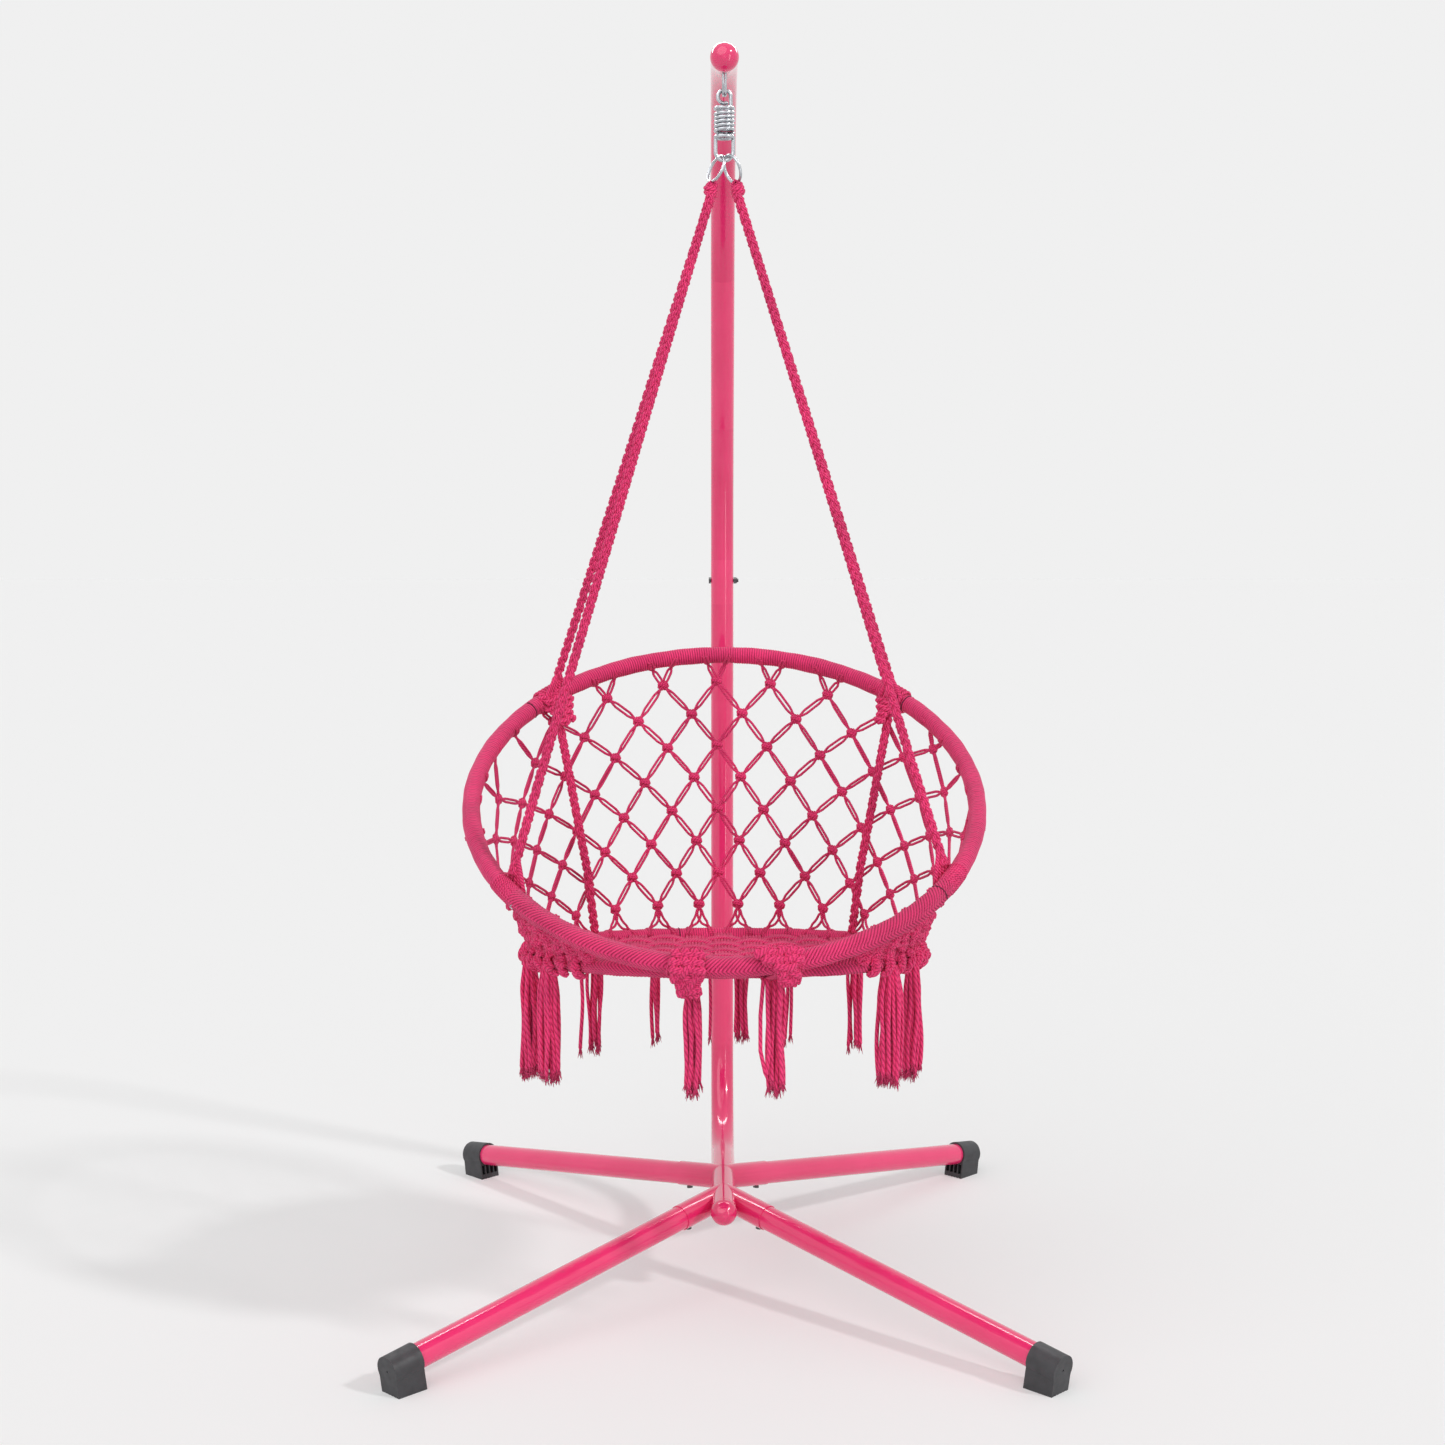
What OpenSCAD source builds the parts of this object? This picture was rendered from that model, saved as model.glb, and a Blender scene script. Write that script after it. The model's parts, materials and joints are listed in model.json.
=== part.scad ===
// Macrame hammock swing chair hanging from a bent tube stand with a crossed base.
// Origin: centre of the four feet, on the floor. +Z up, the chair faces -Y.

/* [Stand] */
// Outer diameter of the mast, boom and base arm tube
mast_d = 40; // [34:1:46]
// Wall of the mast tube
mast_wall = 1.6; // [1.2:0.1:2.4]
// Distance of the mast behind the centre of the base
mast_back = 335; // [300:5:380]
// Height of the base arm's axis above the floor
arm_z = 137; // [125:1:160]
// Length of the base arm in front of the base's centre
arm_front = 128; // [115:1:150]
// Bend radius at the foot of the mast
foot_bend_r = 165; // [130:5:190]
// Height of the seam between the lower and upper mast
seam_z = 1088; // [1000:1:1130]
// Length of the lower mast's reduced end inside the upper mast
spigot_len = 90; // [60:5:110]
// Height of the bolt above the seam
bolt_up = 42; // [30:1:50]
// Straight length of the upper mast above the seam
upper_straight = 77; // [65:1:110]
// Radius of the upper mast's slow bend
slow_bend_r = 600; // [500:10:700]
// Lean that the slow bend gives the mast, degrees
lean = 23; // [18:1:26]
// Straight length between the slow bend and the hook bend
lean_len = 258; // [220:1:290]
// Radius of the hook bend at the top
hook_bend_r = 435; // [400:5:470]
// Turn of the hook bend, degrees
hook_turn = 77; // [70:1:80]
// Diameter of the domed end caps
cap_d = 42; // [40:0.5:48]

/* [Base] */
// Outer diameter of a leg
leg_d = 38; // [30:1:42]
// Wall of a leg
leg_wall = 1.5; // [1:0.1:2.5]
// Wall of the stub that a leg plugs into
stub_wall = 1.2; // [1:0.1:2]
// Stub length from the arm's axis
stub_len = 100; // [90:1:115]
// Distance from the arm's axis to the inner end of a leg
leg_start = 50; // [46:1:60]
// Distance from the arm's axis to the outer end of a foot
leg_reach = 681; // [600:1:720]
// Droop of the legs below level, degrees
leg_droop = 8.6; // [8:0.1:8.8]
// Spacing of the front and rear pair of stubs along the arm
pair_gap = 100; // [96:1:108]

/* [Feet] */
// Length of a foot along its leg
foot_len = 49; // [42:1:60]
// Wall of the foot's round cap
foot_wall = 3.3; // [2.5:0.1:4]
// Thickness of the foot's end disc
foot_end = 4; // [3:0.5:6]
// Width of the foot's block
block_w = 40; // [34:1:42]
// Thickness of the ribs in the foot's block
rib_t = 2.6; // [2:0.1:3.2]
// Grooves in the foot's sole
groove_n = 5; // [3:1:6]

/* [Hanger] */
// Distance of the hanging point in front of the base's centre
hang_front = 250; // [240:1:256]
// Wire diameter of the eye under the boom
eye_wire = 7; // [6:0.5:8]
// Inner radius of the eye
eye_r = 9; // [8:0.5:12]
// Depth of the eye's inside below the boom
eye_drop = 26; // [24:1:36]
// Wire diameter of the spring
spring_wire = 5.6; // [5:0.1:6]
// Outer diameter of the spring
spring_od = 31.5; // [28:0.5:36]
// Coils in the spring
spring_coils = 8; // [6:1:9]
// Height of the upper hook, from its inside to the first coil
hook_drop = 21; // [20:1:30]
// Depth of the lower loop below the last coil, to the centre of its round
loop_drop = 18; // [16:1:26]
// Wire diameter of the two rings
ring_wire = 4.5; // [4:0.5:5.5]
// Outer diameter of the two rings
ring_od = 45; // [42:1:52]
// Lean of each ring towards its ropes, degrees
ring_lean = 24; // [20:1:26]
// Turn of the rings about the vertical, degrees
ring_turn = 28; // [20:1:30]
// Distance of each ring from the middle of the loop
ring_off = 3.6; // [3.5:0.1:4]
// Diameter of the knot under each ring
ring_knot_d = 24; // [22:1:28]
// Height of the knot under each ring
ring_knot_h = 16; // [12:1:20]

/* [Chair] */
// Diameter of the upper hoop, to the middle of its tube
hoop_d = 758; // [740:1:780]
// Diameter of the hoop with its cord winding
hoop_wrap_d = 28; // [26:0.5:29]
// Diameter of the hoop's steel tube
hoop_tube_d = 18; // [14:0.5:20]
// Height of the hoop's centre
hoop_z = 818; // [812:1:850]
// Distance of the hoop's centre in front of the base's centre
hoop_front = 254; // [248:1:256]
// Tilt of the hoop, degrees
hoop_tilt = 30.8; // [29.5:0.1:31.5]
// Diameter of the seat ring, to the middle of its tube
seat_d = 576; // [560:1:584]
// Diameter of the seat ring with its cord winding
seat_wrap_d = 26; // [22:0.5:27]
// Diameter of the seat ring's steel tube
seat_tube_d = 16; // [12:0.5:18]
// Space between the hoop's and the seat ring's windings at the front
front_gap = 2; // [1:0.5:4]
// Tilt of the seat ring, degrees
seat_tilt = -6.2; // [-7:0.1:-6]
// Height of the seat ring's front
seat_front_z = 615; // [610:1:620]
// Diameter of a suspension rope
rope_d = 14; // [12:0.5:14]
// Length of a knot collar on the hoop
collar_len = 42; // [36:1:52]
// Wall of the hoop's and the seat ring's tubes
ring_wall = 1.2; // [0.8:0.1:2]
// Thickness of a knot collar
collar_t = 6; // [4:0.5:8]

/* [Net] */
// Thickness of a net cord
net_cord = 5; // [4:0.5:6]
// Size of a net knot
net_knot = 12; // [10:0.5:14]
// Angle of the middle column of knots on the seat ring, degrees
net_mid = 91.5; // [90:0.5:92]
// Angle between the middle two columns of knots, degrees
net_col = 5.9; // [5.5:0.1:6.2]
// Growth of that angle towards the sides
net_spread = 0.175; // [0.1:0.005:0.2]
// Columns of knots each side of the middle
net_side = 12; // [10:1:12]
// Rows of knots
net_rows = 8; // [7:1:8]
// Height of the lowest row of knots, as a share of the net's height
net_row0 = 0.112; // [0.1:0.002:0.13]
// Height of a row of the net, as a share of the net's height
net_row = 0.1135; // [0.11:0.0005:0.115]
// Width of a woven band in the seat
band_w = 30; // [24:1:34]
// Spacing of the woven bands
band_gap = 46; // [42:1:52]
// Thickness of a woven band
band_t = 5; // [4:0.5:6]
// Length of a front tassel
tassel_front = 180; // [150:5:190]
// Length of a rear tassel
tassel_rear = 185; // [150:5:190]

/* [Hidden] */
$fn = 48;
pink = "#d83a78";
black = "#3c3c40";
zinc = "#c9ccd0";
clear = 0.3;          // room left between pieces that lie against each other
fit = 0.15;           // radial room of a plugged tube
bend_fit = 0.8;       // radial room of a straight plug in a bent tube
ring_room = 1.4;      // rise of the leaning rings, so that they lie just off the round of the loop
rope_room = 2.2;      // drop of the slanting rope ends below the knots
cord_room = 1.6;      // room for the square end of a net cord beside a ring
// the base's centre, the mast, the hanging point and the hoop's centre, front to back in the part's frame
base_y = 26;
mast_y = base_y + mast_back;
hang_y = base_y - hang_front;
hoop_y = base_y - hoop_front;
mast_r = mast_d / 2;
leg_r = leg_d / 2;
stub_in = leg_r + fit;
stub_r = stub_in + stub_wall;
bolt_z = seam_z + bolt_up;
bolt_r = 3;
slow_z = seam_z + upper_straight;
// end of the slow bend, of the leaning straight and of the hook bend: [y, z]
p_slow = [mast_y - slow_bend_r * (1 - cos(lean)), slow_z + slow_bend_r * sin(lean)];
p_lean = p_slow + lean_len * [-sin(lean), cos(lean)];
hook_c = p_lean + hook_bend_r * [-cos(lean), -sin(lean)];
end_turn = lean + hook_turn;
p_boom = hook_c + hook_bend_r * [cos(end_turn), sin(end_turn)];
// height of the boom's axis above the hanging point
boom_turn = acos((hang_y - hook_c[0]) / hook_bend_r);
boom_z = hook_c[1] + hook_bend_r * sin(boom_turn);
boom_slope = boom_turn - 90;
// hanger heights
eye_in_z = boom_z - mast_r - eye_drop;
hook_z = eye_in_z + clear;
spring_r = (spring_od - spring_wire) / 2;
coil_top = hook_z - hook_drop;
coil_pitch = spring_wire + 0.2;
coil_bottom = coil_top - spring_coils * coil_pitch;
loop_c = coil_bottom - loop_drop;
loop_wire_z = loop_c - spring_r;
ring_r = (ring_od - ring_wire) / 2;
ring_in_z = loop_wire_z + spring_wire / 2 + ring_room;
ring_reach = ring_od * cos(ring_lean);
ring_bottom = ring_in_z + ring_wire - ring_reach - 0.6;
knot_top = ring_bottom - clear;
knot_x = ring_off + (ring_od - ring_wire) * sin(ring_lean);
rope_top = knot_top - ring_knot_h - rope_room;
// the two rings of the chair
hoop_r = hoop_d / 2;
hoop_wr = hoop_wrap_d / 2;
seat_r = seat_d / 2;
seat_wr = seat_wrap_d / 2;
front_y = hoop_y - hoop_r * cos(hoop_tilt) + hoop_wr + seat_wr + front_gap;
seat_y = front_y + seat_r * cos(seat_tilt);
seat_z = seat_front_z + seat_r * sin(seat_tilt);
function on_hoop(a, r = hoop_r) = [r * cos(a), hoop_y + r * sin(a) * cos(hoop_tilt),
                                   hoop_z + r * sin(a) * sin(hoop_tilt)];
function on_seat(b, r = seat_r) = [r * cos(b), seat_y + r * sin(b) * cos(seat_tilt),
                                   seat_z + r * sin(b) * sin(seat_tilt)];
function unit(v) = v / norm(v);
function mirror_x(pts) = [for (p = pts) [-p[0], p[1], p[2]]];

// Angles on the hoop of the rope knots, and on the seat ring of what hangs from it
rear_knot = 137;
front_knot_left = 215;
front_knot_right = 329;
collar_angles = [rear_knot, 180 - rear_knot, front_knot_left, front_knot_right];
collar_half = collar_len / hoop_r * 90 / PI;
braid_foot = 136;
lashing_angles = [261, 283];

// Routes of the ropes and braids: round points chosen by hand
rope_rear_left_pts = [[-20, -216, rope_top], [-66, -178, 1570], [-124, -130, 1400], [-184, -82, 1224],
                      [-234, -42, 1076], [-269, -13, 974]];
rope_front_left_pts = [[-20, -232, rope_top], [-74, -266, 1520], [-135, -304, 1310], [-196, -342, 1100],
                       [-257, -381, 890], [-302, -411, 729.5]];
rope_front_right_pts = [[20, -232, rope_top], [76, -263, 1520], [140, -298, 1310], [203, -333, 1100],
                        [266, -368, 890], [313, -394, 739.5]];
braid_left_pts = [[-266, -19, 930], [-250, -35, 850], [-235, -45, 770], [-218, -51, 680], [-206, -46, 577]];

// Side panels: the angles on the seat ring and the hoop where they start, and how the hoop's angle keeps up
panel_from = 196;
panel_hoop = 207;
panel_spread = 0.75;
panel_t = 6;

// Tassels: [angle on the seat ring, distance outside it, width, drop of the top below the ring]
front_tassel_list = [[199, 8, 26, 0], [212, 6, 30, 0], [261, 0, 30, 5.8], [283, 0, 28, 5.8],
                     [322, 6, 32, 0], [335, 8, 26, 0]];
rear_tassel_list = [[143, 0, 8, 0], [136, 0, 24, 0], [113, 0, 20, 0], [95, 0, 10, 0], [84, 0, 22, 0],
                    [68, 0, 14, 0], [43, 0, 24, 0]];

function ring_frame(pts, i) =
    let (n = len(pts), d = unit(pts[min(i + 1, n - 1)] - pts[max(i - 1, 0)]),
         u = unit(cross(d, abs(d[2]) > 0.9 ? [1, 0, 0] : [0, 0, 1])))
    [u, cross(d, u)];

// A closed tube swept along points
module sweep(pts, r, sides = 8) {
    n = len(pts);
    rings = [for (i = [0:n - 1]) let (f = ring_frame(pts, i))
             for (k = [0:sides - 1]) let (t = 360 * k / sides) pts[i] + r * (cos(t) * f[0] + sin(t) * f[1])];
    walls = [for (i = [0:n - 2]) for (k = [0:sides - 1]) let (k2 = (k + 1) % sides)
             [i * sides + k, (i + 1) * sides + k, (i + 1) * sides + k2, i * sides + k2]];
    ends = [[for (k = [0:sides - 1]) k], [for (k = [sides - 1:-1:0]) (n - 1) * sides + k]];
    polyhedron(rings, concat(walls, ends));
}

// A short straight piece of cord
module link(p, q, t) {
    d = unit(q - p);
    translate(p) rotate([0, acos(d[2]), atan2(d[1], d[0])]) rotate(17) translate([-t / 2, -t / 2, 0])
        cube([t, t, norm(q - p)]);
}

module torus(r, w) { rotate_extrude() translate([r, 0]) circle(w); }

module in_hoop_plane() { translate([0, hoop_y, hoop_z]) rotate([hoop_tilt, 0, 0]) children(); }
module in_seat_plane() { translate([0, seat_y, seat_z]) rotate([seat_tilt, 0, 0]) children(); }

// ---- stand ----

// The path of the mast tube in the YZ plane, drawn as solid bar of radius r
module in_yz(y, z) { translate([0, y, z]) rotate([90, 0, 90]) children(); }

module bend(r_bend, from, turn, r) {
    rotate_extrude(angle = turn, start = from) translate([r_bend, 0]) circle(r);
}

// The cross-section of the mast tube; a bend's is a hair thinner, so that it ends inside the straights' walls
module mast_section(thin = 0) {
    difference() {
        circle(mast_r - thin);
        circle(mast_r - mast_wall + thin);
    }
}

module upper_path() {
    hair = 0.02;
    over = 1;
    translate([0, mast_y, seam_z]) linear_extrude(upper_straight + over) mast_section();
    in_yz(mast_y - slow_bend_r, slow_z)
        rotate_extrude(angle = lean) translate([slow_bend_r, 0]) mast_section(hair);
    translate([0, p_slow[0], p_slow[1]]) rotate([lean, 0, 0]) translate([0, 0, -over])
        linear_extrude(lean_len + 2 * over) mast_section();
    in_yz(hook_c[0], hook_c[1])
        rotate_extrude(angle = hook_turn, start = lean) translate([hook_bend_r, 0]) mast_section(hair);
}

module bolt_hole() {
    translate([-mast_d, mast_y, bolt_z]) rotate([0, 90, 0]) cylinder(r = bolt_r + fit, h = 2 * mast_d);
}

module upper_mast() {
    color(pink) difference() {
        upper_path();
        bolt_hole();
    }
}

// Places its children with +X along a leg
module along_leg(side, front) {
    translate([0, base_y + front * pair_gap / 2, arm_z]) rotate([0, 0, front * (90 - 45 * side)])
        rotate([0, leg_droop, 0]) children();
}
module each_leg() { for (side = [-1, 1]) for (front = [-1, 1]) along_leg(side, front) children(); }

module lower_path(r, extra = 0) {
    arm_end = mast_y - foot_bend_r;
    translate([0, base_y - arm_front - extra, arm_z]) rotate([-90, 0, 0])
        cylinder(r = r, h = arm_end - base_y + arm_front + extra);
    in_yz(arm_end, arm_z + foot_bend_r) bend(foot_bend_r, 270, 90, r);
    translate([0, mast_y, arm_z + foot_bend_r])
        cylinder(r = r, h = seam_z - arm_z - foot_bend_r - (extra > 0 ? 14 : 0));
}

module lower_mast() {
    spigot_r = mast_r - mast_wall - fit;
    color(pink) difference() {
        union() {
            lower_path(mast_r);
            translate([0, mast_y, seam_z - 1]) cylinder(r = spigot_r, h = spigot_len + 1);
            each_leg() rotate([0, 90, 0]) cylinder(r = stub_r, h = stub_len);
        }
        lower_path(mast_r - mast_wall, 1);
        translate([0, mast_y, seam_z - 16]) cylinder(r = spigot_r - mast_wall, h = spigot_len + 20);
        each_leg() translate([leg_start - 2, 0, 0]) rotate([0, 90, 0]) cylinder(r = stub_in, h = stub_len);
        each_leg() screw_shank(bolt_r + fit);
        bolt_hole();
    }
}

module end_cap(plug_r) {
    plug_len = 22;
    translate([0, 0, -plug_len]) cylinder(r = plug_r, h = plug_len + 1);
    difference() {
        translate([0, 0, 8]) sphere(d = cap_d);
        translate([0, 0, -cap_d]) cube(2 * cap_d, center = true);
    }
}

module boom_end_cap() {
    color(pink) translate([0, p_boom[0], p_boom[1]]) rotate([end_turn, 0, 0])
        end_cap(mast_r - mast_wall - bend_fit);
}

module base_end_cap() {
    color(pink) translate([0, base_y - arm_front, arm_z]) rotate([90, 0, 0])
        end_cap(mast_r - mast_wall - fit);
}

module mast_bolt() {
    head_h = 3.5;
    color(black) translate([-mast_r - clear, mast_y, bolt_z]) rotate([0, 90, 0]) {
        translate([0, 0, -head_h]) cylinder(r = 5.5, h = head_h, $fn = 6);
        cylinder(r = bolt_r, h = mast_d + 9);
    }
}

module mast_nut() {
    color(black) translate([mast_r + clear, mast_y, bolt_z]) rotate([0, 90, 0]) difference() {
        union() {
            cylinder(r = 5.5, h = 5, $fn = 6);
            translate([0, 0, 4]) cylinder(r = 4.4, h = 2.5);
        }
        translate([0, 0, -1]) cylinder(r = bolt_r + 0.1, h = 12);
    }
}

module leg(side, front) {
    color(pink) along_leg(side, front) difference() {
        translate([leg_start, 0, 0]) rotate([0, 90, 0])
            cylinder(r = leg_r, h = leg_reach - foot_end - clear - leg_start);
        translate([leg_start - 1, 0, 0]) rotate([0, 90, 0])
            cylinder(r = leg_r - leg_wall, h = leg_reach);
        screw_shank(bolt_r + fit);
    }
}

module foot(side, front) {
    cap_r = leg_r + fit + foot_wall;
    in_x = leg_reach - foot_len;
    slot_n = 4;
    slot_w = (block_w - (slot_n + 1) * rib_t) / slot_n;
    color(black) difference() {
        along_leg(side, front) difference() {
            union() {
                translate([in_x, 0, 0]) rotate([0, 90, 0]) cylinder(r = cap_r, h = foot_len);
                translate([in_x, -block_w / 2, -arm_z]) cube([foot_len, block_w, arm_z]);
            }
            translate([in_x - 1, 0, 0]) rotate([0, 90, 0])
                cylinder(r = leg_r + fit, h = foot_len - foot_end + 1);
            for (k = [0:slot_n - 1])
                translate([in_x - 1, -block_w / 2 + rib_t + k * (slot_w + rib_t), -cap_r - 12])
                    cube([foot_len - foot_end, slot_w, 12 + foot_wall * 1.6]);
            translate([leg_reach - 2, 0, 0]) rotate([0, 90, 0]) cylinder(r = 1.6, h = 3);
        }
        translate([-2 * leg_reach, -2 * leg_reach, -arm_z]) cube([4 * leg_reach, 4 * leg_reach, arm_z]);
        translate([0, base_y + front * pair_gap / 2, 0])
            rotate([0, 0, front * (90 - 45 * side)]) for (k = [1:groove_n])
                translate([leg_reach * 0.85, (k / (groove_n + 1) - 0.5) * block_w - 1, -1])
                    cube([leg_reach * 0.3, 2, 2.6]);
    }
}

// A screw from below that pins a leg in its stub, in the leg's frame
screw_x = stub_len - 16;
module screw_shank(r) {
    translate([screw_x, 0, -stub_r - 2]) cylinder(r = r, h = 2 + stub_r - leg_r + 6);
}

module leg_screws() {
    color(black) each_leg() {
        translate([screw_x, 0, -stub_r - clear - 3.5]) cylinder(r = 5, h = 3.5);
        translate([screw_x, 0, -stub_r - clear - 1]) cylinder(r = bolt_r, h = stub_r - leg_r + 6);
    }
}

module hanger_eye() {
    w = eye_wire / 2;
    r = eye_r + w;
    top = mast_r + 2;
    arc_z = eye_in_z + eye_r;
    color(zinc) difference() {
        union() {
            for (s = [-1, 1]) translate([0, hang_y + s * r, arc_z])
                cylinder(r = w, h = boom_z - arc_z);
            in_yz(hang_y, arc_z) bend(r, 180, 180, w);
        }
        in_yz(hook_c[0], hook_c[1]) bend(hook_bend_r, lean, hook_turn + 4, mast_r + 0.05);
    }
}

// ---- spring and rings ----

module wire_arc(y, z, r, from, turn, w) {
    translate([0, y, z]) rotate([90, 0, 0]) bend(r, from, turn, w);
}

// The flat end coil that a hook or loop grows out of
module end_coil(z, w) {
    translate([0, hang_y, z]) rotate_extrude(angle = 330) translate([spring_r, 0]) circle(w);
}

// The hook's round passes over the eye; its leg runs down to the end coil
module spring_hook() {
    w = spring_wire / 2;
    r = spring_r - 3.5;
    round_z = hook_z + w - r;
    color(zinc) {
        wire_arc(hang_y, round_z, r, 0, 300, w);
        translate([r, hang_y, coil_top - w]) cylinder(r = w, h = round_z - coil_top + w);
        end_coil(coil_top - w, w);
    }
}

module suspension_spring() {
    w = spring_wire / 2 - 0.05;
    steps = 18;
    color(zinc) sweep([for (i = [0:steps * (spring_coils - 3)]) let (a = -360 * i / steps)
                       [spring_r * cos(a), hang_y + spring_r * sin(a),
                        coil_top - spring_wire / 2 - coil_pitch * (1 + i / steps)]], w, 8);
}

module spring_loop() {
    w = spring_wire / 2;
    color(zinc) {
        for (s = [-1, 1]) translate([s * spring_r, hang_y, loop_c - 1])
            cylinder(r = w - 0.1, h = loop_drop + 1 + w * 0.6);
        wire_arc(hang_y, loop_c, spring_r, 180, 180, w);
        end_coil(coil_bottom + w, w);
    }
}

module one_ring(s) {
    color(zinc) translate([s * ring_off, hang_y, ring_in_z + ring_wire / 2])
        rotate([0, s * -ring_lean, 0]) rotate([0, 0, ring_turn]) translate([0, 0, -ring_r])
            rotate([0, 90, 0]) torus(ring_r, ring_wire / 2);
}

module ring_knot(s) {
    color(pink) translate([s * knot_x, hang_y, knot_top - ring_knot_h]) {
        half_h = ring_knot_h / 2;
        cylinder(d1 = ring_knot_d * 0.8, d2 = ring_knot_d, h = half_h);
        translate([0, 0, half_h]) cylinder(d1 = ring_knot_d, d2 = ring_knot_d * 0.6, h = half_h);
    }
}

// ---- chair ----

module winding(r, outer, inner) {
    rotate_extrude() translate([r, 0]) difference() {
        circle(outer);
        circle(inner);
    }
}

module hoop_tube() {
    color(zinc) in_hoop_plane() winding(hoop_r, hoop_tube_d / 2, hoop_tube_d / 2 - ring_wall);
}

module hoop_wrap() { color(pink) in_hoop_plane() winding(hoop_r, hoop_wr, hoop_tube_d / 2 + 0.1); }

module collar(a) {
    rotate_extrude(angle = 2 * collar_half, start = a - collar_half) translate([hoop_r, 0]) difference() {
        circle(hoop_wr + clear + collar_t);
        circle(hoop_wr + clear);
    }
}

module hoop_collars() {
    color(pink) in_hoop_plane() for (a = collar_angles) collar(a);
}

module seat_ring_tube() {
    color(zinc) in_seat_plane() winding(seat_r, seat_tube_d / 2, seat_tube_d / 2 - ring_wall);
}

module seat_ring_wrap() { color(pink) in_seat_plane() winding(seat_r, seat_wr, seat_tube_d / 2 + 0.1); }

// A lashing is a sleeve round the hoop and the seat ring where they lie side by side
module lashing(a) {
    p = on_hoop(a);
    q = on_seat(a);
    turn = a + 90;
    w = 36;
    color(pink) difference() {
        hull() for (e = [[p, hoop_wr], [q, seat_wr]]) translate(e[0]) rotate([0, 0, turn])
            rotate([0, 90, 0]) cylinder(r = e[1] + 6, h = w, center = true, $fn = 32);
        in_hoop_plane() torus(hoop_r, hoop_wr + clear);
        in_seat_plane() {
            torus(seat_r, seat_wr + clear);
            cylinder(r = seat_r - seat_wr + 3 * clear, h = 60, center = true);
        }
    }
}
module front_lashings() { for (a = lashing_angles) lashing(a); }

// Dense knotted panel between hoop and seat ring at the front corners
module panel(side) {
    steps = 4;
    step = 8;
    for (k = [0:steps - 1]) hull() for (b = [panel_from + k * step, panel_from + (k + 1) * step])
        for (p = [on_seat(b), on_hoop(panel_hoop + (b - panel_from) * panel_spread)])
            translate([-side * p[0], p[1], p[2]]) cube(panel_t, center = true);
}

module side_panels() {
    color(pink) difference() {
        union() {
            panel(-1);
            panel(1);
        }
        in_hoop_plane() torus(hoop_r, hoop_wr + collar_t + 2.5 * clear, $fn = 120);
        in_seat_plane() torus(seat_r, seat_wr + 2 * clear, $fn = 120);
    }
}

// ---- net ----

function net_b(m) = net_mid + sign(m) * (net_col * abs(m) + net_spread * m * m);
function net_hoop(b) = 90 + (b - 90) / 0.9;
function net_a(m) = net_hoop(net_b(m));
function net_len(m) = norm(on_hoop(net_a(m)) - on_seat(net_b(m)));
function net_t(n) = net_row0 + net_row * n;
function has_knot(m, n) = abs(m) <= net_side && n >= 0 && n < net_rows
    && (1 - net_t(n)) * net_len(m) > hoop_wr + 1.5 * net_knot && net_t(n) * net_len(m) > seat_wr + net_knot;
function knot_at(m, n) = on_seat(net_b(m)) + (on_hoop(net_a(m)) - on_seat(net_b(m))) * net_t(n);
// the end of a cord that runs from p to the middle of a ring's tube, just off the winding
function ring_stop(p, h, next, r) = let (d = unit(h - p), across = sqrt(1 - pow(d * unit(next - h), 2)))
    h - d * (r + clear + cord_room) / across;
function on_collar(a) = min([for (c = collar_angles) abs(a - c)]) < collar_half + 3;
// where a cord that goes up from a knot meets the hoop, and one that goes down meets the seat ring
function hoop_end(m, n, side) = let (k = min(1, (1 - net_t(n)) / net_row), a = net_a(m + side * 0.6 * k),
    r = hoop_wr + (on_collar(a) ? collar_t + 2 * cord_room : 0)) ring_stop(knot_at(m, n), on_hoop(a), on_hoop(a + 1), r);
function seat_end(m, n, side) = let (k = min(1, net_t(n) / net_row), b = net_b(m + side * 0.5 * k))
    ring_stop(knot_at(m, n), on_seat(b), on_seat(b + 1), seat_wr);

module net_knot_at(p, turn) {
    hull() translate(p) rotate([0, 0, turn]) rotate([45, 0, 0])
        cube([net_knot * 0.8, net_knot, net_knot], center = true);
}

module back_net() {
    color(pink) for (m = [-net_side:net_side]) for (n = [0:net_rows - 1])
        if ((m + n) % 2 != 0 && has_knot(m, n)) {
            p = knot_at(m, n);
            net_knot_at(p, net_b(m));
            for (side = [-1, 1]) {
                if (has_knot(m + side, n + 1)) link(p, knot_at(m + side, n + 1), net_cord);
                else if (abs(m + side) <= net_side) link(p, hoop_end(m, n, side), net_cord);
                if (abs(m + side) <= net_side && !has_knot(m + side, n - 1))
                    link(p, seat_end(m, n, side), net_cord);
            }
        }
}

module seat_net() {
    r = seat_r - seat_wr - clear;
    n = ceil(r / band_gap);
    color(pink) in_seat_plane() intersection() {
        cylinder(r = r, h = 4 * band_t, center = true, $fn = 64);
        union() for (k = [-n:n]) for (turn = [0, 90])
            rotate([0, 0, turn]) hull() translate([k * band_gap, 0, turn == 0 ? 1 : -1])
                cube([band_w, 2 * r, band_t], center = true);
    }
}

module tassel(item, drop_len) {
    w = item[2] / 2;
    slope = abs(sin(seat_tilt) * cos(item[0])) * w;
    top = on_seat(item[0], seat_r + item[1]) - [0, 0, seat_wr + clear + slope + item[3]];
    hull() {
        translate(top - [0, 0, 2]) cylinder(r = w * 0.6, h = 2, $fn = 8);
        translate(top - [0, 0, drop_len * 0.12]) cylinder(r = w * 0.8, h = 1, $fn = 8);
        translate(top - [0, 0, drop_len]) cylinder(r = w, h = 2, $fn = 8);
    }
}
module front_tassels() { color(pink) for (t = front_tassel_list) tassel(t, tassel_front); }
module rear_tassels() { color(pink) for (t = rear_tassel_list) tassel(t, tassel_rear); }

module rope(pts, right) { color(pink) sweep(right ? mirror_x(pts) : pts, rope_d / 2, 8); }

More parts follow.
